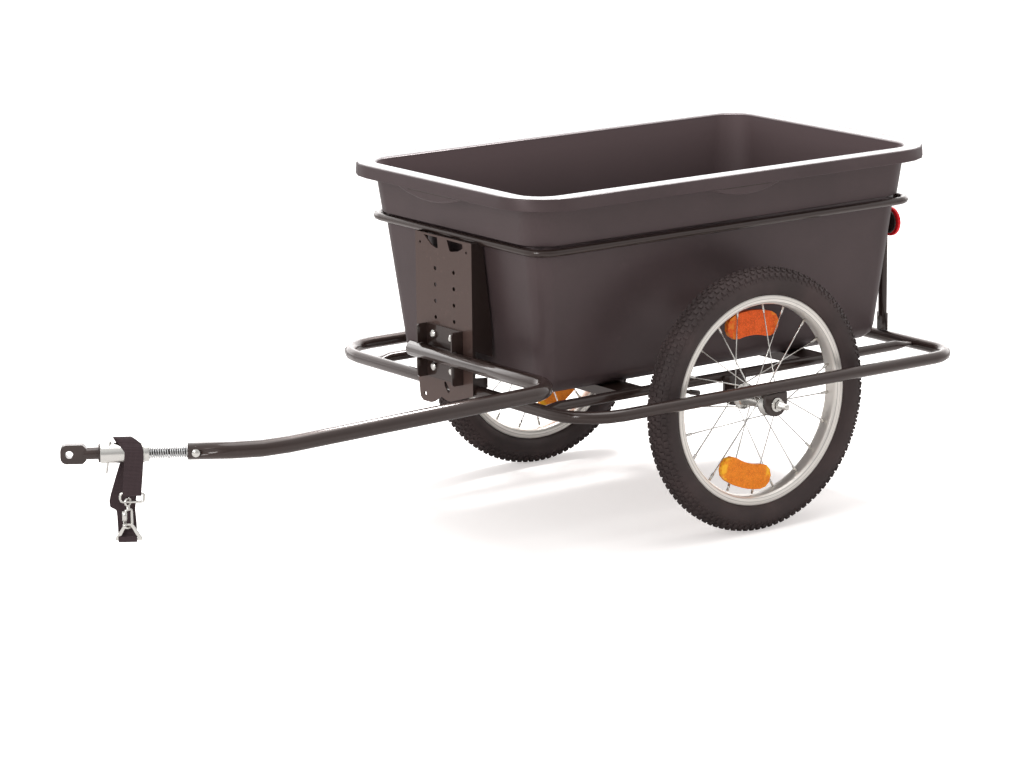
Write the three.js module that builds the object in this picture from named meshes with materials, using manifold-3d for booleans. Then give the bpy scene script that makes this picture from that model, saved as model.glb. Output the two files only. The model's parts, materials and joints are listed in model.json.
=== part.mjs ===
// Cargo trailer for a bicycle: plastic tub in a tube frame, two spoked wheels,
// bent drawbar and spring coupling.
// Lengths in mm, +X forward, +Y left, +Z up. Until the last step the origin lies
// on the ground under the middle of the wheel axle line.
import * as THREE from 'three';
import { mergeVertices } from 'three/addons/utils/BufferGeometryUtils.js';
import Module from 'manifold-3d';

const wasm = await Module();
wasm.setup();

// Driving dimensions
const gap = 0.3; // left between two pieces that touch or are welded
const overrun = 3; // how far a cutting shape runs past what it cuts
const degree = Math.PI / 180;

const wheelRadius = 199.5;
const wheelSides = 32;

const tub = {
  centreX: -2, rimHalfLength: 395.5, lengthOverWidth: 148.3, rimTop: 535.2, bottom: 231.6,
  wall: 4, edge: 2, flangeWidth: 30, flangeFillet: 1.5, bandRun: 6, wallRun: 7.5, footInset: 68,
  footFillet: 22, stepHeight: 4, skirtDepth: 18, skirtFlare: 2, stationsPerCorner: 6,
  cornerAtFoot: 24, cornerAtRing: 34, cornerAbove: 47, cornerAtRim: 40, flangeBendShare: 1.35,
};
const grip = { endHalfWidth: 74, sideHalfWidth: 60.5, drop: 11, thickness: 3, lap: 6, inset: 0.5 };
const rimHalfWidth = tub.rimHalfLength - tub.lengthOverWidth;
const flangeRun = tub.flangeWidth + tub.flangeFillet;
const wallHalfLength = tub.rimHalfLength - flangeRun - tub.bandRun - tub.wallRun;
const besideRim = 26.8; // from the side edge of the tub's rim out to the wheel's middle
const wheelPlane = rimHalfWidth + besideRim;

const ringTube = { radius: 6, endClearance: 0.5, sideClearance: 6.2 };
const ring = {
  centreX: tub.centreX, height: 451.3, tubeRadius: ringTube.radius,
  halfLength: wallHalfLength + ringTube.radius + ringTube.endClearance,
  halfWidth: wallHalfLength - tub.lengthOverWidth + ringTube.radius + ringTube.sideClearance,
  bendRadius: 32, rearBendRadius: 25, tubeSides: 8, stationsPerCorner: 5,
};
const frameTube = { radius: 9.3, beyondRing: 5.6, beyondWheel: 44.2 };
const frame = {
  centreX: -3, height: 225.3, tubeRadius: frameTube.radius,
  halfLength: ring.halfLength + frameTube.beyondRing, halfWidth: wheelPlane + frameTube.beyondWheel,
  bendRadius: 75, rearBendRadius: 50, tubeSides: 10, stationsPerCorner: 6,
};
const frameFront = frame.centreX + frame.halfLength;
const frameRear = frame.centreX - frame.halfLength;
const rail = { insideWheel: 60.5, radius: 7.5, flatLength: 36, flatShare: 0.5, spreadShare: 1.35 };
const railOffset = wheelPlane - rail.insideWheel;
const crossMember = { width: 47, depth: 14, sheet: 2.5, bite: 0.5, frontX: 188, rearX: -168 };
const post = {
  setBack: 0.4, offset: 143.5, radius: 7, flatTop: 262, footThickness: 5, footWidth: 20,
};
const postX = frameRear - post.setBack;
const lamp = {
  lensRadius: 23, baseRadius: 18.5, baseDepth: 3, lensRim: 5, lensDepth: 10, belowRing: 46.5,
  edge: 1,
};
const plate = {
  clearance: 1, thickness: 2, centreY: 1, halfWidth: 70.5, belowRing: 1.8, foot: 193.5,
  flangeDepth: 36, holeColumn: 23.3, holesCentreY: 3, lowestRow: 252, rowPitch: 24.6,
  aboveRows: 49, holeRadius: 3.25,
};
const plateTop = ring.height - plate.belowRing;
const plateBack = frameFront + frame.tubeRadius + plate.clearance;
const plateFront = plateBack + plate.thickness;
const bracket = {
  centreY: 3, halfWidth: 45, sheet: 3, depth: 20, corner: 3, bottom: 234.5, top: 315,
};
const bar = {
  radius: 11.7, wall: 1.75, sides: 12,
  farEndY: -61, crossHeight: 274.7, cornerY: 300, cornerBend: 50,
  kinkAhead: 525.1, kinkY: 316.5, kinkZ: 269.3, kinkBend: 130, endLength: 100.8,
  heading: 33.5 * degree,
};
const bolt = { shankRadius: 3, headRadius: 6.3, headHeight: 5, nutHeight: 6 };

// Solids and meshes
function solidOf(geometry) {
  const bare = geometry.clone();
  bare.deleteAttribute('normal');
  bare.deleteAttribute('uv');
  const welded = mergeVertices(bare);
  const points = welded.getAttribute('position').array;
  const corners = welded.index.array;
  const kept = [];
  let volume = 0;
  for (let i = 0; i < corners.length; i += 3) {
    const [a, b, c] = corners.slice(i, i + 3);
    if (a === b || b === c || c === a) continue;
    kept.push(a, b, c);
    volume += new THREE.Vector3().fromArray(points, 3 * a).dot(
      new THREE.Vector3().fromArray(points, 3 * b)
        .cross(new THREE.Vector3().fromArray(points, 3 * c)),
    );
  }
  const turned = volume < 0 ? kept.reverse() : kept;
  return new wasm.Manifold(new wasm.Mesh({
    numProp: 3,
    vertProperties: Float32Array.from(points),
    triVerts: Uint32Array.from(turned),
  }));
}

function geometryOf(solid) {
  const mesh = solid.getMesh();
  const geometry = new THREE.BufferGeometry();
  geometry.setAttribute('position', new THREE.BufferAttribute(mesh.vertProperties, mesh.numProp));
  geometry.setIndex(new THREE.BufferAttribute(mesh.triVerts, 1));
  geometry.computeVertexNormals();
  return geometry;
}

function joined(...geometries) {
  return geometryOf(geometries.map(solidOf).reduce((whole, piece) => whole.add(piece)));
}

function cut(geometry, ...tools) {
  return geometryOf(tools.map(solidOf).reduce((whole, tool) => whole.subtract(tool), solidOf(geometry)));
}

const finishes = {
  blackPaint: { color: 0x17171a, roughness: 0.28, metalness: 0.35 },
  tubPlastic: { color: 0x3b3737, roughness: 0.55, metalness: 0 },
  tyreRubber: { color: 0x2b2727, roughness: 0.9, metalness: 0 },
  rimAlloy: { color: 0xd8d2ca, roughness: 0.32, metalness: 0.85 },
  steel: { color: 0xc9cccf, roughness: 0.28, metalness: 0.9 },
  darkSteel: { color: 0x55565a, roughness: 0.4, metalness: 0.8 },
  blackPlastic: { color: 0x1c1b1c, roughness: 0.45, metalness: 0 },
  amber: { color: 0xf07a1c, roughness: 0.25, metalness: 0 },
  red: { color: 0xe23b32, roughness: 0.2, metalness: 0 },
  webbing: { color: 0x2a2526, roughness: 0.95, metalness: 0 },
};

function meshOf(name, geometry, finish) {
  const closed = geometryOf(solidOf(geometry));
  const mesh = new THREE.Mesh(closed, new THREE.MeshStandardMaterial(finishes[finish]));
  mesh.name = name;
  return mesh;
}

// Shape helpers
const axisX = new THREE.Vector3(1, 0, 0);
const axisY = new THREE.Vector3(0, 1, 0);
const axisZ = new THREE.Vector3(0, 0, 1);

function at(x, y, z) {
  return new THREE.Vector3(x, y, z);
}

function moved(geometry, x, y, z) {
  return geometry.translate(x, y, z);
}

function block(x0, x1, y0, y1, z0, z1) {
  const box = new THREE.BoxGeometry(x1 - x0, y1 - y0, z1 - z0);
  return moved(box, (x0 + x1) / 2, (y0 + y1) / 2, (z0 + z1) / 2);
}

// Turns a shape built along +Y from the origin so that it starts at one point
// and runs toward another.
function aimed(geometry, from, to) {
  const way = to.clone().sub(from).normalize();
  geometry.applyQuaternion(new THREE.Quaternion().setFromUnitVectors(axisY, way));
  return moved(geometry, from.x, from.y, from.z);
}

function rod(from, to, radius, sides) {
  const length = from.distanceTo(to);
  const cylinder = new THREE.CylinderGeometry(radius, radius, length, sides);
  return aimed(moved(cylinder, 0, length / 2, 0), from, to);
}

// Revolves a list of [radius, height] pairs about Y.
function turned(profile, sides) {
  const points = profile.map(([radius, height]) => new THREE.Vector2(radius, height));
  return new THREE.LatheGeometry(points, sides);
}

function turnedRing(profile, sides) {
  return turned([...profile, profile[0]], sides);
}

function mirrored(profile) {
  return [...profile, ...profile.map(([radius, height]) => [radius, -height]).reverse()];
}

function alongX(geometry) {
  return geometry.rotateZ(-Math.PI / 2);
}

function circle(radius, sides, x = 0, y = 0) {
  return Array.from({ length: sides }, (_, i) => {
    const angle = (i + 1 / 2) * 2 * Math.PI / sides;
    return new THREE.Vector2(x + radius * Math.cos(angle), y + radius * Math.sin(angle));
  });
}

function outline(pairs) {
  return pairs.map(([x, y]) => new THREE.Vector2(x, y));
}

function shapeOf(points, ...holes) {
  const shape = new THREE.Shape(points);
  shape.holes = holes.map((hole) => new THREE.Path(hole));
  return shape;
}

function prism(shape, depth) {
  return new THREE.ExtrudeGeometry(shape, { depth, bevelEnabled: false });
}

// A flat shape drawn in Y and Z, thick along X from x0.
function prismOnX(shape, x0, depth) {
  const turn = new THREE.Matrix4().makeBasis(axisY, axisZ, axisX);
  return moved(prism(shape, depth).applyMatrix4(turn), x0, 0, 0);
}

// A flat shape drawn in X and Z, thick along Y with its middle at y.
function prismOnY(shape, y, depth) {
  const turn = new THREE.Matrix4().makeBasis(axisX, axisZ, axisY.clone().negate());
  return moved(prism(shape, depth).applyMatrix4(turn), 0, y + depth / 2, 0);
}

// A curve whose stations are exactly the given points.
class Route extends THREE.Curve {
  constructor(points) {
    super();
    this.points = points;
  }

  getPoint(t, target = new THREE.Vector3()) {
    const place = t * (this.points.length - 1);
    const first = Math.min(Math.floor(place), this.points.length - 2);
    return target.lerpVectors(this.points[first], this.points[first + 1], place - first);
  }

  getPointAt(u, target) {
    return this.getPoint(u, target);
  }

  getSpacedPoints() {
    return this.points.map((point) => point.clone());
  }

  getTangentAt(u, target = new THREE.Vector3()) {
    const here = Math.round(u * (this.points.length - 1));
    const before = this.points[Math.max(here - 1, 0)];
    const middle = this.points[here];
    const after = this.points[Math.min(here + 1, this.points.length - 1)];
    const into = middle.clone().sub(before).normalize();
    const out = after.clone().sub(middle).normalize();
    return target.copy(into).add(out).normalize();
  }
}

function tubeAlong(points, shape) {
  const steps = points.length - 1;
  return new THREE.ExtrudeGeometry(shape, {
    steps, bevelEnabled: false, extrudePath: new Route(points),
  });
}

// Points of a line bent round each inner corner with its own radius.
function bentLine(corners, radii, stepAngle) {
  const line = [corners[0]];
  for (let i = 1; i < corners.length - 1; i += 1) {
    const into = corners[i].clone().sub(corners[i - 1]).normalize();
    const out = corners[i + 1].clone().sub(corners[i]).normalize();
    const turn = into.angleTo(out);
    const axis = into.clone().cross(out).normalize();
    const reach = radii[i - 1] * Math.tan(turn / 2);
    const start = corners[i].clone().addScaledVector(into, -reach);
    const centre = start.clone().addScaledVector(axis.clone().cross(into), radii[i - 1]);
    const steps = Math.max(1, Math.round(turn / stepAngle));
    for (let j = 0; j <= steps; j += 1) {
      const arm = start.clone().sub(centre).applyAxisAngle(axis, turn * j / steps);
      line.push(centre.clone().add(arm));
    }
  }
  return [...line, corners[corners.length - 1]];
}

// Moves the corners of a round shape about Z apart, so that it becomes a rounded
// rectangle. cornerOf gives each vertex its corner centre and corner radius.
function squared(geometry, stationsPerCorner, cornerOf) {
  const quarter = Math.PI / 2;
  const halfStep = quarter / stationsPerCorner / 2;
  const place = geometry.getAttribute('position');
  for (let i = 0; i < place.count; i += 1) {
    const radius = Math.hypot(place.getX(i), place.getY(i));
    const onAxis = radius < halfStep / wheelRadius;
    if (onAxis) continue;
    const angle = (Math.atan2(place.getY(i), place.getX(i)) + 4 * quarter) % (4 * quarter);
    const corner = Math.floor(angle / quarter);
    const share = (angle - corner * quarter - halfStep) / (quarter - 2 * halfStep);
    const turn = (corner + share) * quarter;
    const middle = (corner + 1 / 2) * quarter;
    const front = Math.cos(middle) > 0;
    const { x, y, bend } = cornerOf(radius, place.getZ(i), front);
    place.setX(i, Math.sign(Math.cos(middle)) * x + bend * Math.cos(turn));
    place.setY(i, Math.sign(Math.sin(middle)) * y + bend * Math.sin(turn));
  }
  return geometry;
}

// A closed tube round a rounded rectangle lying flat, its middle at the origin.
function loopTube(size, extra = 0) {
  const { halfLength, halfWidth, bendRadius, tubeRadius, tubeSides, stationsPerCorner } = size;
  const rearBendRadius = size.rearBendRadius ?? bendRadius;
  const stations = 4 * stationsPerCorner;
  const torus = new THREE.TorusGeometry(bendRadius, tubeRadius + extra, tubeSides, stations);
  torus.rotateZ(Math.PI / stations);
  return squared(torus, stationsPerCorner, (radius, height, front) => {
    const middle = front ? bendRadius : rearBendRadius;
    return { x: halfLength - middle, y: halfWidth - middle, bend: middle + radius - bendRadius };
  });
}

function placedLoop(size, extra) {
  return moved(loopTube(size, extra), size.centreX, 0, size.height);
}

// A bolt along +X whose head bears on the plane x = headX and whose nut, made
// with it in one, bears on the plane x = nutX.
function boltOnX(headX, nutX, y, z) {
  const { shankRadius, headRadius, headHeight, nutHeight } = bolt;
  const headRim = headHeight * 3 / 5;
  const profile = [
    [0, nutX - nutHeight - gap], [headRadius, nutX - nutHeight - gap], [headRadius, nutX - gap],
    [shankRadius, nutX - gap], [shankRadius, headX + gap], [headRadius, headX + gap],
    [headRadius, headX + gap + headRim], [headRadius * 3 / 5, headX + gap + headHeight],
    [0, headX + gap + headHeight],
  ];
  return moved(alongX(turned(profile, 12)), 0, y, z);
}

// Tub
function tubProfile() {
  const { rimHalfLength, rimTop, bottom, wall, edge, footFillet, skirtDepth, skirtFlare } = tub;
  const bandTop = rimHalfLength - flangeRun;
  const bandFoot = bandTop - tub.bandRun;
  const footHeight = ring.height + ring.tubeRadius + 2 * gap;
  const footHalf = rimHalfLength - tub.footInset;
  const bend = (share, radius) => [
    footHalf - footFillet + radius * Math.sin(share * Math.PI / 2),
    bottom + footFillet - radius * Math.cos(share * Math.PI / 2),
  ];
  const bent = (radius) => [0, 1 / 3, 2 / 3, 1].map((share) => bend(share, radius));
  const underside = rimTop - wall;
  return [
    [0, bottom],
    ...bent(footFillet),
    [wallHalfLength, footHeight - tub.stepHeight],
    [wallHalfLength + edge, footHeight],
    [bandFoot, footHeight + edge],
    [bandTop, underside],
    [rimHalfLength - wall, underside],
    [rimHalfLength - wall + skirtFlare, rimTop - skirtDepth],
    [rimHalfLength + skirtFlare, rimTop - skirtDepth],
    [rimHalfLength, rimTop - edge],
    [rimHalfLength - edge, rimTop],
    [bandTop + edge, rimTop],
    [bandTop - wall + edge, rimTop - edge],
    [wallHalfLength - wall, footHeight + edge],
    ...bent(footFillet - wall).reverse(),
    [0, bottom + wall],
  ];
}

// A finger grip: a crescent that hangs below the skirt, drawn about its middle.
function gripPrism(halfWidth) {
  const steps = 8;
  const arc = Array.from({ length: steps + 1 }, (_, i) => {
    const share = 2 * i / steps - 1;
    return [share * halfWidth, -grip.drop * (1 - share * share)];
  });
  const above = [[halfWidth, grip.lap], [-halfWidth, grip.lap]];
  return prism(shapeOf(outline([...arc, ...above])), grip.thickness);
}

function tubGeometry() {
  const { centreX, rimHalfLength, lengthOverWidth, rimTop, bottom, stationsPerCorner } = tub;
  const stations = 4 * stationsPerCorner;
  const points = tubProfile().map(([radius, height]) => new THREE.Vector2(radius, height));
  const round = new THREE.LatheGeometry(points, stations, Math.PI / stations).rotateX(Math.PI / 2);
  const ringLevel = ring.height + ring.tubeRadius;
  const wallTop = rimHalfLength - flangeRun;
  const shell = squared(round, stationsPerCorner, (radius, height) => {
    const belowShare = (height - bottom) / (ringLevel - bottom);
    const aboveShare = (height - ringLevel) / (rimTop - ringLevel);
    const wallBend = height < ringLevel
      ? tub.cornerAtFoot + belowShare * (tub.cornerAtRing - tub.cornerAtFoot)
      : tub.cornerAbove + aboveShare * (tub.cornerAtRim - tub.cornerAbove);
    const bend = wallBend + tub.flangeBendShare * Math.max(0, radius - wallTop);
    return { x: radius - bend, y: radius - lengthOverWidth - bend, bend };
  });
  const height = rimTop - tub.skirtDepth;
  const half = grip.thickness / 2;
  const acrossTurn = new THREE.Matrix4().makeBasis(axisY, axisZ, axisX);
  const alongTurn = new THREE.Matrix4().makeBasis(axisX, axisZ, axisY.clone().negate());
  const ends = [1, -1].map((way) => moved(
    gripPrism(grip.endHalfWidth).applyMatrix4(acrossTurn),
    way * (rimHalfLength - grip.inset) - half, 0, height,
  ));
  const sides = [1, -1].map((way) => moved(
    gripPrism(grip.sideHalfWidth).applyMatrix4(alongTurn),
    0, way * (rimHalfWidth - grip.inset) + half, height,
  ));
  return moved(joined(shell, ...ends, ...sides), centreX, 0, 0);
}

// Tube frame
function railGeometry(side) {
  const { radius, flatLength, flatShare, spreadShare } = rail;
  const ease = flatLength / 2;
  const stations = [
    frameRear, frameRear + flatLength - ease, frameRear + flatLength, frameFront - flatLength,
    frameFront - flatLength + ease, frameFront,
  ];
  const points = stations.map((x) => at(x, 0, 0));
  const tube = tubeAlong(points, shapeOf(circle(radius, 12)));
  const place = tube.getAttribute('position');
  for (let i = 0; i < place.count; i += 1) {
    const fromEnd = Math.min(place.getX(i) - frameRear, frameFront - place.getX(i));
    const share = Math.min(1, Math.max(0, (flatLength - fromEnd) / ease));
    place.setY(i, place.getY(i) * (1 + share * (spreadShare - 1)));
    place.setZ(i, place.getZ(i) * (1 + share * (flatShare - 1)));
  }
  moved(tube, 0, side * railOffset, frame.height);
  return cut(tube, placedLoop(frame, gap));
}

function crossMemberGeometry(x) {
  const { width, depth, sheet, bite } = crossMember;
  const top = tub.bottom - gap;
  const half = railOffset;
  const left = x - width / 2;
  const right = x + width / 2;
  const profile = outline([
    [left, top - depth], [left + sheet, top - depth], [left + sheet, top - sheet],
    [right - sheet, top - sheet], [right - sheet, top - depth], [right, top - depth],
    [right, top], [left, top],
  ]);
  const channel = prismOnY(shapeOf(profile), 0, 2 * half);
  const rails = [1, -1].map((side) => rod(
    at(left - overrun, side * half, frame.height),
    at(right + overrun, side * half, frame.height), rail.radius + gap, 16,
  ));
  const beyond = [1, -1].map((side) => {
    const inner = half - bite;
    const outer = half + rail.radius;
    return block(
      left - overrun, right + overrun, Math.min(side * inner, side * outer),
      Math.max(side * inner, side * outer), top - depth - overrun, top + overrun,
    );
  });
  return cut(channel, ...rails, ...beyond);
}

function dropoutGeometry(y, thickness, top, holeRadius) {
  const { halfWidth, footDepth } = dropout;
  const steps = 6;
  const arc = Array.from({ length: steps + 1 }, (_, i) => {
    const angle = Math.PI * (1 + i / steps);
    return [halfWidth * Math.cos(angle), wheelRadius + footDepth * Math.sin(angle)];
  });
  const shape = shapeOf(
    outline([...arc, [halfWidth, top], [-halfWidth, top]]), circle(holeRadius, 16, 0, wheelRadius),
  );
  return prismOnY(shape, y, thickness);
}

function postGeometry(side) {
  const { offset, radius, flatTop, footThickness, footWidth } = post;
  const foot = frame.height + frame.tubeRadius / 2;
  const top = ring.height - ring.tubeRadius / 3;
  const y = side * offset;
  const upper = rod(at(postX, y, flatTop - footThickness), at(postX, y, top), radius, 12);
  const lower = block(
    postX - footThickness / 2, postX + footThickness / 2, y - footWidth / 2, y + footWidth / 2,
    foot, flatTop,
  );
  return cut(joined(upper, lower), placedLoop(frame, gap), placedLoop(ring, gap));
}

function rearReflector(side) {
  const { lensRadius, baseRadius, baseDepth, lensRim, lensDepth, belowRing, edge } = lamp;
  const start = post.radius + gap - postX;
  const face = start + baseDepth;
  const back = face + gap;
  const front = start + baseDepth + lensDepth;
  const place = (geometry) => moved(
    geometry.rotateZ(Math.PI / 2), 0, side * post.offset, ring.height - belowRing,
  );
  const base = turned([
    [0, start], [baseRadius - edge, start], [baseRadius, start + edge], [baseRadius, face],
    [0, face],
  ], 20);
  const lens = turned([
    [0, back], [lensRadius - edge, back], [lensRadius, back + edge],
    [lensRadius, back + lensRim], [lensRadius * 5 / 6, (back + lensRim + front) / 2],
    [lensRadius / 2, front - edge], [0, front],
  ], 20);
  return [place(base), place(lens)];
}

// Front plate, bracket and drawbar
// Heights of the rows of bolt holes, from the lowest up.
function boltRows() {
  const { lowestRow, rowPitch, aboveRows } = plate;
  const rows = Math.floor((plateTop - aboveRows - lowestRow) / rowPitch) + 1;
  return Array.from({ length: rows }, (_, i) => lowestRow + i * rowPitch);
}

// The two rows that hold the bracket, the upper one first.
function bracketRows() {
  const rows = boltRows();
  return [rows[2], rows[0]];
}

// Outlines of the plate, as shares of its width and of its height.
const faceShares = [
  [0, 1], [0, 0.1504], [0.0284, 0.1113], [0.0496, 0.0215], [0.0993, 0], [0.2411, 0],
  [0.2979, 0.0098], [0.4326, 0.0527], [0.5248, 0.0391], [0.5887, 0.0371], [1, 0.1074], [1, 1],
];
const windowShares = [
  [[0.1525, 0.9883], [0.3936, 0.9883], [0.4043, 0.9277], [0.3794, 0.9238], [0.2801, 0.9395]],
  [
    [0.8404, 0.9844], [0.8475, 0.959], [0.7624, 0.9355], [0.6348, 0.9238], [0.6135, 0.9277],
    [0.5638, 0.9883],
  ],
];
const slotShares = [
  [0.4858, 0.1465], [0.5142, 0.1504], [0.5851, 0.1035], [0.578, 0.0879], [0.5496, 0.0879],
  [0.4929, 0.123],
];
const cornerHoleShares = [[0.0851, 0.9395], [0.9078, 0.9395]];
const footHoleShares = [0.1418, 0.0449];

// Outline of its folded sides, as shares of their depth and of the plate's height.
const flangeShares = [
  [0.0278, 1], [0.5972, 1], [0.5972, 0.9434], [1, 0.4668], [1, 0.3223], [0.1389, 0.3691],
  [0.1389, 0.2129], [0.75, 0.2051], [0.75, 0.1465], [0.0278, 0.1348],
];

function plateGeometry() {
  const {
    centreY, halfWidth, foot, thickness, flangeDepth, holesCentreY, holeColumn, holeRadius,
  } = plate;
  const left = centreY - halfWidth;
  const right = centreY + halfWidth;
  const tall = plateTop - foot;
  const placed = ([across, up]) => [left + across * 2 * halfWidth, foot + up * tall];
  const hole = ([y, z], radius) => circle(radius, 8, y, z);
  const columns = [holesCentreY - holeColumn, holesCentreY + holeColumn];
  const rows = columns.flatMap((y) => boltRows().map((z) => hole([y, z], holeRadius)));
  const corners = cornerHoleShares.map((shares) => hole(placed(shares), holeRadius * 2 / 3));
  const windows = [...windowShares, slotShares].map((shares) => outline(shares.map(placed)));
  const cuts = [...rows, ...windows, ...corners, hole(placed(footHoleShares), holeRadius)];
  const tools = cuts.map(
    (points) => prismOnX(shapeOf(points), plateBack - overrun, thickness + 2 * overrun),
  );
  const face = outline(faceShares.map(placed));
  const sheet = cut(prismOnX(shapeOf(face), plateBack, thickness), ...tools);
  const side = outline(flangeShares.map(
    ([back, up]) => [plateFront - back * flangeDepth, foot + up * tall],
  ));
  const flanges = [left + thickness / 2, right - thickness / 2]
    .map((y) => prismOnY(shapeOf(side), y, thickness));
  return cut(joined(sheet, ...flanges), placedLoop(frame, gap), placedLoop(ring, gap));
}

const webBack = plateFront + gap;
const webFront = webBack + bracket.sheet;
const barX = webFront + gap + bar.radius;

const barKink = at(plateFront + bar.kinkAhead, bar.kinkY, bar.kinkZ);
const hitchWay = at(Math.cos(bar.heading), -Math.sin(bar.heading), 0);
const barEnd = barKink.clone().addScaledVector(hitchWay, bar.endLength);

function barLine() {
  return bentLine([
    at(barX, bar.farEndY, bar.crossHeight), at(barX, bar.cornerY, bar.crossHeight),
    barKink, barEnd,
  ], [bar.cornerBend, bar.kinkBend], 15 * degree);
}

function barGeometry() {
  const section = shapeOf(circle(bar.radius, bar.sides), circle(bar.radius - bar.wall, bar.sides));
  const boltPath = inHitch(rod(
    at(hitch.boltAt, -bar.radius - overrun, 0), at(hitch.boltAt, bar.radius + overrun, 0),
    bolt.shankRadius + gap, 10,
  ));
  return cut(tubeAlong(barLine(), section), boltPath);
}

function bracketGeometry() {
  const { centreY, halfWidth, sheet, depth, corner, bottom, top } = bracket;
  const holes = bracketRows().flatMap((z) => [1, -1].map(
    (side) => circle(plate.holeRadius, 8, plate.holesCentreY + side * plate.holeColumn, z),
  ));
  const left = centreY - halfWidth;
  const right = centreY + halfWidth;
  const tools = holes.map(
    (points) => prismOnX(shapeOf(points), webBack - overrun, sheet + 2 * overrun),
  );
  const web = cut(block(webBack, webFront, left, right, bottom, top), ...tools);
  const arm = outline([
    [webBack, bottom], [webBack + depth - corner, bottom], [webBack + depth, bottom + corner],
    [webBack + depth, top - corner], [webBack + depth - corner, top], [webBack, top],
  ]);
  const arms = [left + sheet / 2, right - sheet / 2].map((y) => prismOnY(shapeOf(arm), y, sheet));
  const tube = rod(
    at(barX, left - overrun, bar.crossHeight), at(barX, right + overrun, bar.crossHeight),
    bar.radius + gap, 24,
  );
  return cut(joined(web, ...arms), tube);
}

// Coupling, built along +X from the mouth of the drawbar
const hitch = {
  boltAt: -11.2, plugLength: 26, coreRadius: 4, wireRadius: 0.9, springRadius: 7.9, curls: 16,
  socketStart: 51.2, flangeEnd: 57, socketEnd: 116, socketRadius: 13.6, boreRadius: 8.5,
  boreStart: 84, rodRadius: 8.2, grooveRadius: 4.3, grooveHalf: 5, washerEnd: 118.8, rodEnd: 135,
  eyeAt: 157.5, eyeTip: 169.5, eyeRadius: 13, eyeCorner: 8.5, eyeBore: 5.2, eyeThickness: 14,
  pinAt: 105, pinRadius: 1.25, pinOffset: 6.2, pinFoot: -27, pinBendStart: 12.7,
  pinTilt: 8 * degree, collarStep: 1, edge: 0.8,
};

function inHitch(geometry) {
  geometry.rotateZ(-bar.heading);
  return moved(geometry, barEnd.x, barEnd.y, barEnd.z);
}

function plugGeometry() {
  const radius = bar.radius * Math.cos(Math.PI / bar.sides) - bar.wall - gap;
  const plug = rod(at(-hitch.plugLength, 0, 0), at(-gap, 0, 0), radius, 16);
  const hole = rod(
    at(hitch.boltAt, -bar.radius, 0), at(hitch.boltAt, bar.radius, 0), bolt.shankRadius + gap, 10,
  );
  return cut(plug, hole);
}

function crossBoltGeometry() {
  const { shankRadius, headRadius, headHeight, nutHeight } = bolt;
  const seat = bar.radius + gap;
  const headShare = 7 / 8;
  return moved(turned([
    [0, -seat - nutHeight * 3 / 4], [headRadius * headShare, -seat - nutHeight * 3 / 4],
    [headRadius * headShare, -seat], [shankRadius, -seat], [shankRadius, seat],
    [headRadius * headShare, seat], [headRadius * headShare, seat + headHeight / 3],
    [headRadius / 2, seat + headHeight * 2 / 3], [0, seat + headHeight * 2 / 3],
  ], 12), hitch.boltAt, 0, 0);
}

function springLine() {
  const { springRadius, wireRadius, curls, socketStart } = hitch;
  const stepsPerCurl = 8;
  const start = 0;
  const end = socketStart - gap;
  const straight = 2 * wireRadius;
  const rise = (end - start - 2 * straight) / (curls * stepsPerCurl);
  const points = [at(start, springRadius, 0)];
  for (let i = 0; i <= curls * stepsPerCurl; i += 1) {
    const angle = i * 2 * Math.PI / stepsPerCurl;
    points.push(at(
      start + straight + i * rise, springRadius * Math.cos(angle), springRadius * Math.sin(angle),
    ));
  }
  points.push(at(end, springRadius, 0));
  return points;
}

// The least free space between two curls, measured between the line's pieces.
function leastSelfGap(points, radius) {
  let least = Infinity;
  const near = 5;
  for (let i = 0; i < points.length - 1; i += 1) {
    for (let j = i + near; j < points.length - 1; j += 1) {
      for (const share of [0, 1 / 2, 1]) {
        const here = points[i].clone().lerp(points[i + 1], share);
        const piece = new THREE.Line3(points[j], points[j + 1]);
        const there = piece.closestPointToPoint(here, true, new THREE.Vector3());
        least = Math.min(least, here.distanceTo(there) - 2 * radius);
      }
    }
  }
  return least;
}

function springGeometry() {
  const line = springLine();
  console.log('spring: least gap between curls', leastSelfGap(line, hitch.wireRadius).toFixed(2));
  return tubeAlong(line, shapeOf(circle(hitch.wireRadius, 5)));
}

const socketRoom = 26.4; // past the socket, so that the pin's path leaves it everywhere

// A rod along the hitch's locking pin leg, longer than the pin at both ends.
function pinWay(side) {
  const reach = hitch.socketRadius + socketRoom;
  const lean = at(-Math.sin(hitch.pinTilt), 0, Math.cos(hitch.pinTilt));
  const middle = at(hitch.pinAt, side * hitch.pinOffset, 0);
  const from = middle.clone().addScaledVector(lean, -reach);
  const to = middle.clone().addScaledVector(lean, reach);
  return rod(from, to, hitch.pinRadius + gap, 8);
}

function socketGeometry() {
  const { socketStart, flangeEnd, socketEnd, socketRadius, boreRadius, boreStart, edge } = hitch;
  const collar = socketRadius - hitch.collarStep;
  const body = alongX(turned([
    [0, socketStart], [collar, socketStart], [collar, flangeEnd],
    [socketRadius, flangeEnd + edge], [socketRadius, socketEnd - edge],
    [socketRadius - edge, socketEnd], [boreRadius, socketEnd], [boreRadius, boreStart],
    [0, boreStart],
  ], 20));
  return cut(body, pinWay(1), pinWay(-1));
}

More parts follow.
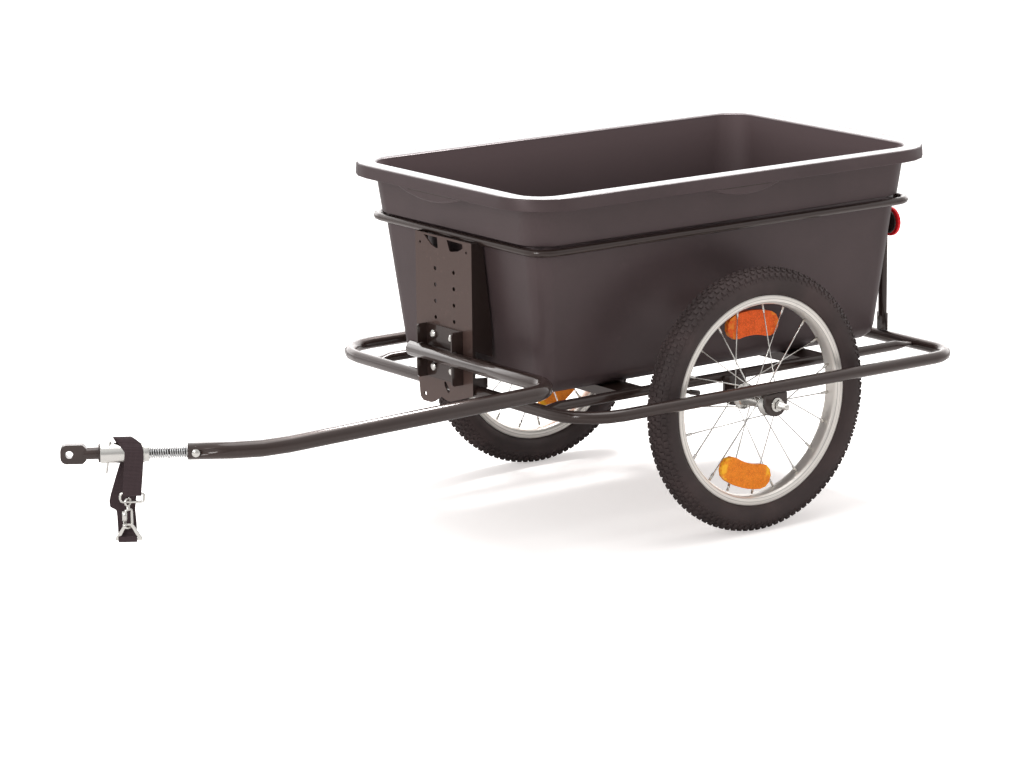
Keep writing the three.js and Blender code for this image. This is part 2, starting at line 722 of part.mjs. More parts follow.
function adapterGeometry() {
  const {
    boreStart, rodRadius, grooveRadius, rodEnd, eyeAt, eyeRadius, eyeCorner, eyeBore, eyeThickness,
  } = hitch;
  const grooveStart = hitch.pinAt - hitch.grooveHalf;
  const grooveEnd = hitch.pinAt + hitch.grooveHalf;
  const stem = alongX(turned([
    [0, boreStart + gap], [rodRadius, boreStart + gap], [rodRadius, grooveStart],
    [grooveRadius, grooveStart], [grooveRadius, grooveEnd], [rodRadius, grooveEnd],
    [rodRadius, rodEnd + rodRadius / 2], [0, rodEnd + rodRadius / 2],
  ], 16));
  const corner = [hitch.eyeTip - eyeCorner, eyeRadius - eyeCorner];
  const shoulder = eyeRadius - rodRadius;
  const eye = prismOnY(shapeOf(outline([
    ...arcPairs(corner[0], -corner[1], eyeCorner, -90, 0, 4),
    ...arcPairs(corner[0], corner[1], eyeCorner, 0, 90, 4),
    [rodEnd + shoulder, eyeRadius], [rodEnd, rodRadius], [rodEnd, -rodRadius],
    [rodEnd + shoulder, -eyeRadius],
  ]), circle(eyeBore, 16, eyeAt, 0)), 0, eyeThickness);
  return joined(stem, eye);
}

function washerGeometry() {
  const { socketEnd, washerEnd, boreRadius, socketRadius, collarStep } = hitch;
  const outer = socketRadius - collarStep;
  return alongX(turnedRing([
    [boreRadius, socketEnd + gap], [outer, socketEnd + gap],
    [outer, washerEnd], [boreRadius, washerEnd],
  ], 16));
}

function pinGeometry() {
  const { pinAt, pinOffset, pinRadius, pinTilt, pinFoot, pinBendStart } = hitch;
  const steps = 6;
  const line = [at(0, -pinOffset, pinFoot)];
  for (let i = 0; i <= steps; i += 1) {
    const angle = Math.PI * (1 - i / steps);
    line.push(at(0, pinOffset * Math.cos(angle), pinBendStart + pinOffset * Math.sin(angle)));
  }
  line.push(at(0, pinOffset, pinFoot));
  const pin = tubeAlong(line, shapeOf(circle(pinRadius, 6)));
  return moved(pin.rotateY(-pinTilt), pinAt, 0, 0);
}

// Safety strap, hanging round the socket
const strap = {
  start: 58.5, width: 25, thickness: 1.6, hang: 100, wrap: 3.4, ringY: 11.6, ringTop: -53,
  ringAt: 75.5, snapTop: -76, buckleY: 10.7, buckleFoot: -117, buckleAt: 81.5, snapY: 11.3, snapAt: 81.5,
  snapTurn: 40 * degree,
};
const strapRing = {
  halfLength: 16, halfWidth: 6.2, bendRadius: 4, tubeRadius: 1.8, tubeSides: 6,
  stationsPerCorner: 3,
};
const snapLoop = {
  halfLength: 7, halfWidth: 12.5, bendRadius: 4, tubeRadius: 2, tubeSides: 6, stationsPerCorner: 3,
};
const ringFoot = strap.ringTop - 2 * strapRing.halfWidth;
const snapFoot = strap.snapTop - 2 * snapLoop.halfWidth;

function arcPairs(y, z, radius, from, to, steps) {
  return Array.from({ length: steps + 1 }, (_, i) => {
    const angle = (from + (to - from) * i / steps) * degree;
    return [y + radius * Math.cos(angle), z + radius * Math.sin(angle)];
  });
}

// The band's middle line in Y and Z, from the tail at the ring over the socket
// to the tail at the buckle.
const overSocket = hitch.socketRadius + gap + strap.thickness / 2;

// Free places of that line from its head to its tail, as shares of the hanging length.
const headShares = [[0.122, -0.39], [0.116, -0.45]];
const nearShares = [[0.15, -0.46]];
const crownShares = [
  [0.04, 0.178], [0.005, 0.203], [-0.05, 0.202], [-0.105, 0.17], [-0.146, 0.095], [-0.16, 0],
];
const farShares = [
  [-0.15, -0.18], [-0.136, -0.33], [-0.11, -0.53], [-0.09, -0.675],
  [-0.076, -0.76], [-0.065, -0.81], [-0.01, -0.98], [0.05, -1.11],
];
const tailShares = [[0.139, -1.125]];
const shoulderShare = -0.08;
const farShoulderShare = -0.12;

function strapPairs() {
  const { hang, wrap, ringY, ringTop, buckleY, buckleFoot } = strap;
  const hung = (shares) => shares.map(([y, z]) => [y * hang, z * hang]);
  return [
    ...hung(headShares), ...arcPairs(ringY, ringTop, wrap, 150, 360, 6), ...hung(nearShares),
    [overSocket, shoulderShare * hang], ...arcPairs(0, 0, overSocket, 0, 60, 4),
    ...hung(crownShares), [-overSocket, farShoulderShare * hang], ...hung(farShares),
    ...arcPairs(buckleY, buckleFoot, wrap, 160, 360, 6), ...hung(tailShares),
  ];
}

function bandOutline(pairs, thickness) {
  const points = outline(pairs);
  const offset = (side) => points.map((point, i) => {
    const before = points[Math.max(i - 1, 0)];
    const after = points[Math.min(i + 1, points.length - 1)];
    const way = after.clone().sub(before).normalize();
    return new THREE.Vector2(
      point.x - side * way.y * thickness / 2, point.y + side * way.x * thickness / 2,
    );
  });
  return [...offset(1), ...offset(-1).reverse()];
}

function between(table, value) {
  const next = table.findIndex(([place]) => place <= value);
  if (next === 0) return table[0][1];
  if (next < 0) return table[table.length - 1][1];
  const [before, start] = table[next - 1];
  const [after, end] = table[next];
  return start + (end - start) * (before - value) / (before - after);
}

// How far the strap sways forward, as shares of the hanging length: over the socket
// by the angle round it in degrees, and below by the height as a share.
const crownSwayShares = [
  [180, 0.08], [150, 0.11], [122, 0.15], [104, 0.16], [88, 0.14], [60, 0.02], [20, 0],
];
const nearSwayShares = [[-0.08, 0], [-0.5, 0.045]];
const farSwayShares = [
  [-0.08, 0.07], [-0.18, 0.07], [-0.33, 0.095], [-0.53, 0.17], [-0.675, 0.245], [-0.76, 0.235],
  [-0.81, 0.14], [-0.98, 0.125], [-1.13, 0.12],
];
const tailShare = -0.68;
const farSideShare = 0.03;

function swayAt(y, z) {
  const { hang } = strap;
  if (z > shoulderShare * hang) return hang * between(crownSwayShares, Math.atan2(z, y) / degree);
  const far = z < tailShare * hang || y < farSideShare * hang;
  return hang * between(far ? farSwayShares : nearSwayShares, z / hang);
}

function strapGeometry() {
  const shape = shapeOf(bandOutline(strapPairs(), strap.thickness));
  const band = prismOnX(shape, strap.start, strap.width);
  const place = band.getAttribute('position');
  for (let i = 0; i < place.count; i += 1) {
    place.setX(i, place.getX(i) + swayAt(place.getY(i), place.getZ(i)));
  }
  return band;
}

function upright(size) {
  return loopTube(size).rotateX(Math.PI / 2);
}

function strapRingGeometry() {
  return moved(upright(strapRing), strap.ringAt, strap.ringY, strap.ringTop - strapRing.halfWidth);
}

// The snap hook about its own upright axis, its opening toward +X before it is
// turned into place.
const sleeve = { radius: 3.4, bore: 2.2, drop: 14, cap: 1 };
const gate = { radius: 1.9, aboveFoot: 3, drop: 7, knobRadius: 3.1, knobHeight: 2, knobLift: 1 };
const snapEye = { radius: 5.3, wire: 1.5, neckRadius: 2.6 };
const sleeveFoot = strap.snapTop - sleeve.drop;
const sleeveTop = strap.snapTop - sleeve.cap;
const gateFoot = snapFoot + gate.aboveFoot;

function inSnap(geometry) {
  return moved(geometry.rotateZ(Math.PI / 2 - strap.snapTurn), strap.snapAt, strap.snapY, 0);
}

function snapGeometry() {
  const reach = snapLoop.halfLength;
  const { radius, wire, neckRadius } = snapEye;
  const eye = moved(
    new THREE.TorusGeometry(radius, wire, 6, 12).rotateX(Math.PI / 2), 0, 0, ringFoot,
  );
  const neck = rod(at(0, 0, ringFoot - radius), at(0, 0, strap.snapTop), neckRadius, 8);
  const loop = moved(upright(snapLoop), 0, 0, strap.snapTop - snapLoop.halfWidth);
  const opening = block(
    reach - sleeve.radius, reach + sleeve.radius, -sleeve.radius, sleeve.radius,
    gateFoot - gap, sleeveFoot,
  );
  const tube = rod(at(reach, 0, sleeveFoot), at(reach, 0, sleeveTop), sleeve.radius, 8);
  const bore = rod(
    at(reach, 0, sleeveFoot - overrun), at(reach, 0, sleeveTop - sleeve.cap), sleeve.bore, 8,
  );
  const body = cut(joined(eye, neck, loop), opening);
  return inSnap(cut(joined(body, tube), bore));
}

function gateGeometry() {
  const reach = snapLoop.halfLength;
  const top = strap.snapTop - gate.drop;
  const stem = rod(at(reach, 0, gateFoot), at(reach, 0, top), gate.radius, 8);
  const knobFoot = gateFoot + gate.knobLift;
  const knob = rod(
    at(reach, 0, knobFoot), at(reach, 0, knobFoot + gate.knobHeight), gate.knobRadius, 8,
  );
  return inSnap(joined(stem, knob));
}

const buckle = { bar: 3, halfWidth: 18, apexHalf: 5.5, cutApexHalf: 3 };

function buckleGeometry() {
  const { bar: thick, halfWidth, apexHalf, cutApexHalf } = buckle;
  const foot = strap.buckleFoot - thick / 2;
  const apex = snapFoot + snapLoop.tubeRadius + 3 * gap + thick;
  const outer = outline([
    [-halfWidth, foot], [halfWidth, foot], [halfWidth, foot + thick], [apexHalf, apex],
    [-apexHalf, apex], [-halfWidth, foot + thick],
  ]);
  const inner = outline([
    [2 * thick - halfWidth, foot + thick], [halfWidth - 2 * thick, foot + thick],
    [cutApexHalf, apex - thick], [-cutApexHalf, apex - thick],
  ]);
  const opening = prismOnY(shapeOf(inner), strap.buckleY, thick + 2 * overrun);
  const body = cut(prismOnY(shapeOf(outer), strap.buckleY, thick), opening);
  return moved(body, strap.buckleAt, 0, 0);
}

// Wheels, built about their own middle with the axle along Y
const rim = {
  flange: 158.5, seat: 153, well: 149.5, inner: 144.5, halfWidth: 14.5, lip: 2, side: 6,
  shoulder: 2.5, draft: 0.2, bedHalfWidth: 8.5, wellHalfWidth: 7.5, wellFloorHalfWidth: 5.5,
};
const tyreHalfWidth = 23.5;
const hub = {
  spokes: 20, flange: 20, flangeAt: 28, sheet: 3, barrel: 11.5, cup: 15, end: 32,
  bearing: 11.5, bearingWidth: 7.4, holeCircle: 17.5, spokeRadius: 1, nippleRadius: 2.1,
  nippleLength: 12, rimOffset: 2, through: 7, firstSpoke: 4, lead: 72,
};
const rimInside = rim.inner * Math.cos(Math.PI / wheelSides); // at the middle of a facet
const axle = {
  radius: 5, collar: 8, sides: 12, nutRadius: 8.7, nutHeight: 8, washer: 2, tail: 17, edge: 1,
};
const dropout = { thickness: 5, halfWidth: 21, footDepth: 18.5 };
const innerDropoutY = railOffset + rail.radius + gap + dropout.thickness / 2;
const valve = {
  angle: 13 * degree, stemRadius: 3, capRadius: 4.2, stemLength: 14, capLength: 18, capEdge: 2,
};
const reflector = { middle: 113.5, halfDepth: 19, halfAngle: 15.5, thickness: 8 };

// The casing's section, as shares of its height over the rim's seat and of its half width.
const outerShares = [[0.215, 0.787], [0.409, 0.979], [0.645, 1], [0.86, 0.787], [1, 0.362]];
const innerShares = [[0.215, 0.532], [0.473, 0.809], [0.753, 0.681], [0.882, 0.319]];
const beadShare = 0.332;

function tyreGeometry() {
  const { halfWidth, lip, flange, seat, draft } = rim;
  const clear = halfWidth - lip - gap;
  const placed = ([up, across]) => [seat + up * (wheelRadius - seat), across * tyreHalfWidth];
  const outside = mirrored([
    [seat + gap, clear - draft], [flange + 2 * gap, clear + draft], ...outerShares.map(placed),
  ]);
  const inside = mirrored([[seat + gap, beadShare * tyreHalfWidth], ...innerShares.map(placed)]);
  return turnedRing([...outside, ...inside.reverse()], wheelSides);
}

function rimGeometry() {
  const { flange, seat, well, inner, halfWidth, lip, side, shoulder, draft } = rim;
  return turnedRing(mirrored([
    [inner, rim.bedHalfWidth], [inner + lip, halfWidth - shoulder], [inner + side, halfWidth],
    [flange, halfWidth], [flange, halfWidth - lip], [seat, halfWidth - lip - draft],
    [seat, rim.wellHalfWidth], [well, rim.wellFloorHalfWidth],
  ]), wheelSides);
}

function spokeGeometry(index) {
  const { flangeAt, holeCircle, spokeRadius, nippleRadius, nippleLength, firstSpoke, lead } = hub;
  const step = 360 / hub.spokes;
  const side = index % 2 === 0 ? -1 : 1;
  const way = side * (Math.floor(index / 2) % 2 === 0 ? 1 : -1);
  const rimAngle = (firstSpoke + index * step) * degree;
  const hubAngle = rimAngle + way * lead * degree;
  const reach = rimInside - 3 * gap;
  const from = at(holeCircle * Math.cos(hubAngle), side * flangeAt, holeCircle * Math.sin(hubAngle));
  const to = at(reach * Math.cos(rimAngle), side * hub.rimOffset, reach * Math.sin(rimAngle));
  const length = from.distanceTo(to);
  const thick = length - nippleLength;
  const profile = [
    [0, 0], [spokeRadius, 0], [spokeRadius, thick - spokeRadius], [nippleRadius, thick],
    [nippleRadius, length], [0, length],
  ];
  return aimed(turned(profile, 4), from, to);
}

function hubGeometry() {
  const { flange, flangeAt, sheet, barrel, cup, end, bearing, bearingWidth, spokes } = hub;
  const seat = bearing + gap;
  const shell = turnedRing(mirrored([
    [hub.through, end - bearingWidth - gap], [seat, end - bearingWidth - gap], [seat, end],
    [cup, end], [cup, flangeAt + sheet / 2], [flange, flangeAt + sheet / 2],
    [flange, flangeAt - sheet / 2], [cup, flangeAt - sheet / 2], [barrel, flangeAt - 3 * sheet],
  ].reverse()).reverse(), 16);
  const lines = Array.from({ length: spokes }, (_, i) => spokeGeometry(i));
  return joined(shell, ...lines);
}

function bearingGeometry(side) {
  const { bearing, bearingWidth, end } = hub;
  const from = side > 0 ? end - bearingWidth : -end;
  return turnedRing([
    [axle.radius + gap, from], [bearing, from], [bearing, from + bearingWidth],
    [axle.radius + gap, from + bearingWidth],
  ], 16);
}

function valveGeometry() {
  const { angle, stemRadius, capRadius, stemLength, capLength, capEdge } = valve;
  const way = at(Math.cos(angle), 0, Math.sin(angle));
  const start = rimInside - 2 * gap;
  const top = stemLength + capLength;
  const profile = [
    [0, 0], [stemRadius, 0], [stemRadius, stemLength], [capRadius, stemLength],
    [capRadius, top - capEdge], [capRadius / 2, top], [0, top],
  ];
  return aimed(turned(profile, 8), way.clone().multiplyScalar(start), at(0, 0, 0));
}

// An amber reflector: part of a ring with round ends, on one face of the spokes.
function wheelReflector(angle, side) {
  const { middle, halfDepth, halfAngle, thickness } = reflector;
  const steps = 6;
  const arc = (radius, from, to, count) => arcPairs(0, 0, radius, from, to, count);
  const cap = (end) => {
    const turn = angle + end * halfAngle;
    const centre = [middle * Math.cos(turn * degree), middle * Math.sin(turn * degree)];
    const start = turn + (end > 0 ? 30 : 210);
    return arcPairs(centre[0], centre[1], halfDepth, start, start + 120, 4);
  };
  const points = [
    ...arc(middle + halfDepth, angle - halfAngle, angle + halfAngle, steps), ...cap(1),
    ...arc(middle - halfDepth, angle + halfAngle, angle - halfAngle, steps), ...cap(-1),
  ];
  const start = hub.holeCircle * Math.cos(hub.lead * degree);
  const inside = (middle - halfDepth - start) / (rimInside - start);
  const spokeY = hub.flangeAt * (1 - inside) + hub.rimOffset * inside;
  const clear = spokeY + hub.spokeRadius + gap;
  return prismOnY(shapeOf(outline(points)), side * (clear + thickness / 2), thickness);
}

// Faces of the dropouts beside a wheel, from the wheel's middle.
const innerFace = innerDropoutY + dropout.thickness / 2 - wheelPlane + gap;
const outerFace = frame.halfWidth - dropout.thickness / 2 - wheelPlane - gap;
const innerSeat = innerFace - dropout.thickness - 2 * gap;
const outerSeat = outerFace + dropout.thickness + 2 * gap;

function axleGeometry() {
  const { radius, collar, sides, nutHeight, tail, edge } = axle;
  const innerEnd = innerSeat - nutHeight;
  const outerEnd = outerSeat + nutHeight + tail;
  return turned([
    [0, innerEnd], [radius, innerEnd], [radius, innerFace], [collar, innerFace],
    [collar, -hub.end - gap], [radius, -hub.end - gap], [radius, hub.end + gap],
    [collar, hub.end + gap], [collar, outerFace], [radius, outerFace],
    [radius, outerEnd - edge], [radius - edge, outerEnd], [0, outerEnd],
  ], sides);
}

function axleNut(side) {
  const { radius, nutRadius, nutHeight, washer } = axle;
  const from = side > 0 ? outerSeat : innerSeat - nutHeight;
  const nut = rod(at(0, from, 0), at(0, from + nutHeight, 0), nutRadius, 6);
  const washerFrom = side > 0 ? outerSeat : innerSeat - washer;
  const ringed = rod(
    at(0, washerFrom, 0), at(0, washerFrom + washer, 0), nutRadius + washer, 16,
  );
  const bore = rod(
    at(0, from - overrun, 0), at(0, from + nutHeight + overrun, 0), radius + gap, 12,
  );
  return cut(joined(nut, ringed), bore);
}

// Assembly
function wheelGroup(name, side, reflectorAngles) {
  const group = new THREE.Group();
  group.name = `${name}_wheel_group`;
  group.add(meshOf(`${name}_tyre`, tyreGeometry(), 'tyreRubber'));
  group.add(meshOf(`${name}_rim`, rimGeometry(), 'rimAlloy'));
  group.add(meshOf(`${name}_hub_spokes`, hubGeometry(), 'steel'));
  group.add(meshOf(`${name}_valve`, valveGeometry(), 'blackPlastic'));
  group.add(meshOf(`${name}_reflector_in`, wheelReflector(reflectorAngles[0], -1), 'amber'));
  group.add(meshOf(`${name}_reflector_out`, wheelReflector(reflectorAngles[1], 1), 'amber'));
  group.add(meshOf(`${name}_bearing_in`, bearingGeometry(-1), 'darkSteel'));
  group.add(meshOf(`${name}_bearing_out`, bearingGeometry(1), 'darkSteel'));
  group.add(meshOf(`${name}_axle`, axleGeometry(), 'steel'));
  group.add(meshOf(`${name}_nut_in`, axleNut(-1), 'steel'));
  group.add(meshOf(`${name}_nut_out`, axleNut(1), 'steel'));
  group.position.set(0, side * wheelPlane, wheelRadius);
  if (side < 0) group.rotation.z = Math.PI;
  return group;
}

function frameMeshes() {
  const outerTop = frame.height - frame.tubeRadius - gap;
  const innerTop = frame.height + rail.radius / 2;
  const hole = axle.radius + gap;
  const plates = [['left', 1], ['right', -1]].flatMap(([name, side]) => [
    meshOf(
      `${name}_dropout_outer`,
      dropoutGeometry(side * frame.halfWidth, dropout.thickness, outerTop, hole), 'blackPaint',
    ),
    meshOf(
      `${name}_dropout_inner`,
      dropoutGeometry(side * innerDropoutY, dropout.thickness, innerTop, hole),
      'blackPaint',
    ),
    meshOf(`${name}_inner_rail`, railGeometry(side), 'blackPaint'),
    meshOf(`${name}_rear_post`, postGeometry(side), 'blackPaint'),
  ]);
  const lights = [['left', 1], ['right', -1]].flatMap(([name, side]) => {
    const [base, lens] = rearReflector(side);
    return [
      meshOf(`${name}_rear_reflector_base`, base, 'blackPlastic'),
      meshOf(`${name}_rear_reflector_lens`, lens, 'red'),
    ];
  });
  return [
    meshOf('outer_frame', placedLoop(frame), 'blackPaint'),
    meshOf('upper_ring', placedLoop(ring), 'blackPaint'),
    meshOf('front_cross_member', crossMemberGeometry(crossMember.frontX), 'blackPaint'),
    meshOf('rear_cross_member', crossMemberGeometry(crossMember.rearX), 'blackPaint'),
    ...plates, ...lights,
  ];
}

function drawbarMeshes() {
  const bolts = bracketRows().flatMap((z, row) => [1, -1].map((side, column) => meshOf(
    `bracket_bolt_${2 * row + column + 1}`,
    boltOnX(webFront, plateBack, plate.holesCentreY + side * plate.holeColumn, z), 'steel',
  )));
  return [
    meshOf('front_plate', plateGeometry(), 'blackPaint'),
    meshOf('drawbar_bracket', bracketGeometry(), 'blackPaint'),
    meshOf('drawbar', barGeometry(), 'blackPaint'),
    ...bolts,
  ];
}

function hitchGroup() {
  const group = new THREE.Group();
  group.name = 'hitch_group';
  group.position.copy(barEnd);
  group.rotation.z = -bar.heading;
  const core = rod(at(gap, 0, 0), at(hitch.socketStart - gap, 0, 0), hitch.coreRadius, 10);
  group.add(meshOf('drawbar_plug', plugGeometry(), 'darkSteel'));
  group.add(meshOf('coupling_cross_bolt', crossBoltGeometry(), 'steel'));
  group.add(meshOf('spring_core', core, 'darkSteel'));
  group.add(meshOf('coupling_spring', springGeometry(), 'steel'));
  group.add(meshOf('coupling_socket', socketGeometry(), 'steel'));
  group.add(meshOf('coupling_washer', washerGeometry(), 'blackPlastic'));
  group.add(meshOf('coupling_eye', adapterGeometry(), 'blackPlastic'));
  group.add(meshOf('locking_pin', pinGeometry(), 'steel'));
  group.add(meshOf('safety_strap', strapGeometry(), 'webbing'));
  group.add(meshOf('strap_ring', strapRingGeometry(), 'steel'));
  group.add(meshOf('snap_hook', snapGeometry(), 'steel'));
  group.add(meshOf('snap_gate', gateGeometry(), 'steel'));
  group.add(meshOf('strap_buckle', buckleGeometry(), 'steel'));
  return group;
}

const trailer = new THREE.Group();
trailer.name = 'cargo_trailer';
trailer.add(meshOf('tub', tubGeometry(), 'tubPlastic'));
trailer.add(...frameMeshes());
trailer.add(...drawbarMeshes());
trailer.add(wheelGroup('left', 1, [92.5, -71]));
trailer.add(wheelGroup('right', -1, [125, -55]));
trailer.add(hitchGroup());

// Shift the whole so that the origin is the middle of the footprint on the ground.
trailer.updateMatrixWorld(true);
const bounds = new THREE.Box3().setFromObject(trailer, true);
trailer.position.set(
  -(bounds.min.x + bounds.max.x) / 2, -(bounds.min.y + bounds.max.y) / 2, -bounds.min.z,
);

export default trailer;
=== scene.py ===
"""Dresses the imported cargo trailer: finishes, tyres with their tread, rims, spring and stage."""
import json
import math

import bpy
from bpy.props import FloatProperty, FloatVectorProperty, IntProperty, PointerProperty
from mathutils import Matrix, Vector

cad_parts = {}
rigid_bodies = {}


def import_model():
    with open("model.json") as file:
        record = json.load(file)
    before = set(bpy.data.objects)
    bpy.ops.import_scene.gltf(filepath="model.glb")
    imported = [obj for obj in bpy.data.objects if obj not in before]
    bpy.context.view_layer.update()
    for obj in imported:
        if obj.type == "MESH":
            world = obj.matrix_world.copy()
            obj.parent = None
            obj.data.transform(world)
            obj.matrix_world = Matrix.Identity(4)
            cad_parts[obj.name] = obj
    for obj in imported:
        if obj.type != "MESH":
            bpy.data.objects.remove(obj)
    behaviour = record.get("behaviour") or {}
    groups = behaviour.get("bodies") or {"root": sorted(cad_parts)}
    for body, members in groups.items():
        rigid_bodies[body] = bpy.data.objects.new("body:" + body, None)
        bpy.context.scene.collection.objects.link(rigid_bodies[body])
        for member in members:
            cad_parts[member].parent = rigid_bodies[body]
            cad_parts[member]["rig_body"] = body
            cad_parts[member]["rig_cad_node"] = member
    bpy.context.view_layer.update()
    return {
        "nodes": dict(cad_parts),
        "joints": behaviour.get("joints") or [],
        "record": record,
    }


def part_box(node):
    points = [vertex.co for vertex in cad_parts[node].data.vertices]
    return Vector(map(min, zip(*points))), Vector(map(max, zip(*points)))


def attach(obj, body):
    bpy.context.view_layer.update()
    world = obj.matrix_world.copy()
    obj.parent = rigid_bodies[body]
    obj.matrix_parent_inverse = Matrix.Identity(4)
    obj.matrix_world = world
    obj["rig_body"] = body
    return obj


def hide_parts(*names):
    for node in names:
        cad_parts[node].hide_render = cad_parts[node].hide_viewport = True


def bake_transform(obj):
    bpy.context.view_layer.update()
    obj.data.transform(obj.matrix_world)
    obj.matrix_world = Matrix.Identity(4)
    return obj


bl_info = {
    "name": "Cargo Trailer Dresser",
    "version": (1, 0, 0),
    "blender": (4, 5, 0),
    "location": "3D View > Sidebar > Trailer",
    "description": "Gives a packed bicycle cargo trailer its finishes and fine pieces",
    "category": "Object",
}

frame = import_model()
JOINTS = {joint["name"]: joint for joint in frame["joints"]}
SLOTS = {part["node"]: part["material_slot"] for part in frame["record"]["subparts"]}
BODIES = {
    node: body
    for body, nodes in frame["record"]["behaviour"]["bodies"].items()
    for node in nodes
}
MM = 0.001
SIDES = ("left", "right")
UP = Vector((0, 0, 1))


# Places worked out from the frame
def wheel_place(side):
    """A wheel's middle, the radius of its tyre and half the tyre's width."""
    low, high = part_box(f"{side}_tyre")
    middle = (low + high) / 2
    return middle, (high.z - low.z) / 2, (high.y - low.y) / 2


def coupling_place():
    """The middle of the coupling spring, and the coupling's axis and its side axis."""
    pivot = Vector(JOINTS["coupling_pitch"]["pos_m"])
    along = Vector(JOINTS["adapter_roll"]["axis"]).normalized()
    side = Vector(JOINTS["coupling_pitch"]["axis"]).normalized()
    return pivot, along, side


# What a user would change
def length_setting(name, description, default_mm):
    return FloatProperty(
        name=name, description=description, default=default_mm * MM, min=0, unit="LENGTH",
    )


def colour_setting(name, description, default):
    return FloatVectorProperty(
        name=name, description=description, subtype="COLOR", default=default, min=0, max=1,
    )


class TrailerSizes(bpy.types.PropertyGroup):
    bevel: length_setting("Edge Rounding", "Rounding of sheet and plastic edges", 0.6)
    fold: length_setting("Plate Fold", "Rounding of the front plate's folds and edges", 1.2)
    tub_edge: length_setting("Tub Edge", "Rounding of the tub's edges", 1.0)
    hardware_edge: length_setting(
        "Hardware Edge", "Rounding of nuts, washers and turned parts", 0.5,
    )
    bolt_edge: length_setting("Bolt Edge", "Rounding of the bracket's bolts", 0.4)
    eye_edge: length_setting("Eye Edge", "Rounding of the moulded coupling eye", 2.6)
    wheel_lens_edge: length_setting("Wheel Lens Edge", "Rounding of the wheel reflectors", 1.6)
    rear_lens_edge: length_setting("Rear Lens Edge", "Rounding of the rear reflectors", 0.8)
    tread_pitches: IntProperty(
        name="Tread Pitches", description="Tread blocks in one row around a tyre",
        default=104, min=20,
    )
    tread_height: length_setting("Tread Height", "How far the tread blocks stand out", 2.2)
    spring_wire: length_setting("Spring Wire", "Diameter of the coupling spring's wire", 1.8)
    spring_curls: IntProperty(
        name="Spring Curls", description="Curls of the coupling spring",
        default=16, min=2,
    )
    spring_length: length_setting("Spring Length", "Free length of the coupling spring", 50)


class TrailerColours(bpy.types.PropertyGroup):
    tub: colour_setting("Tub", "Plastic of the tub", (0.053, 0.036, 0.037))
    paint: colour_setting("Paint", "Powder coat of the frame", (0.022, 0.014, 0.012))
    rubber: colour_setting("Rubber", "Rubber of the tyres", (0.044, 0.028, 0.027))
    alloy: colour_setting("Alloy", "Metal of the rims", (0.96, 0.91, 0.85))
    steel: colour_setting(
        "Steel", "Bright steel of spokes, bolts and coupling", (0.86, 0.84, 0.80),
    )
    amber: colour_setting("Amber", "Plastic of the wheel reflectors", (1.0, 0.21, 0.022))
    red: colour_setting("Red", "Plastic of the rear reflectors", (0.90, 0.022, 0.03))
    webbing: colour_setting("Webbing", "Yarn of the safety strap", (0.030, 0.019, 0.021))


class TrailerStage(bpy.types.PropertyGroup):
    floor: colour_setting("Floor", "Colour of the studio floor", (0.92, 0.90, 0.89))
    glow: colour_setting(
        "Floor Lift", "Light added to the floor that the camera sees",
        (0.50, 0.475, 0.465),
    )
    ambient: FloatProperty(
        name="Ambient", description="Strength of the light from all round",
        default=0.68, min=0,
    )
    back_glow: FloatProperty(
        name="Back Reflection", description="Brightness mirrored from behind the trailer",
        default=1.0, min=0,
    )
    band_glow: FloatProperty(
        name="Backdrop Reflection", description="Extra brightness low behind the trailer",
        default=1.5, min=0,
    )
    front_glow: FloatProperty(
        name="Front Reflection", description="Brightness mirrored from the camera's side",
        default=0.40, min=0,
    )
    key_light: FloatProperty(
        name="Key Light", description="Strength of the wide light above",
        default=1.15, min=0,
    )
    top_light: FloatProperty(
        name="Top Light", description="Power of the softbox above",
        default=40, min=0, unit="POWER",
    )
    front_light: FloatProperty(
        name="Front Light", description="Power of the light beside the camera",
        default=27, min=0, unit="POWER",
    )


def sizes():
    return bpy.context.scene.trailer_sizes


def colours():
    return bpy.context.scene.trailer_colours


# Shader maths
class Field:
    """A shader socket that can stand in a Python expression."""

    def __init__(self, finish, socket):
        self.finish = finish
        self.socket = socket

    def __add__(self, other):
        return self.finish.math("ADD", self, other)

    __radd__ = __add__

    def __sub__(self, other):
        return self.finish.math("SUBTRACT", self, other)

    def __rsub__(self, other):
        return self.finish.math("SUBTRACT", other, self)

    def __mul__(self, other):
        return self.finish.math("MULTIPLY", self, other)

    __rmul__ = __mul__


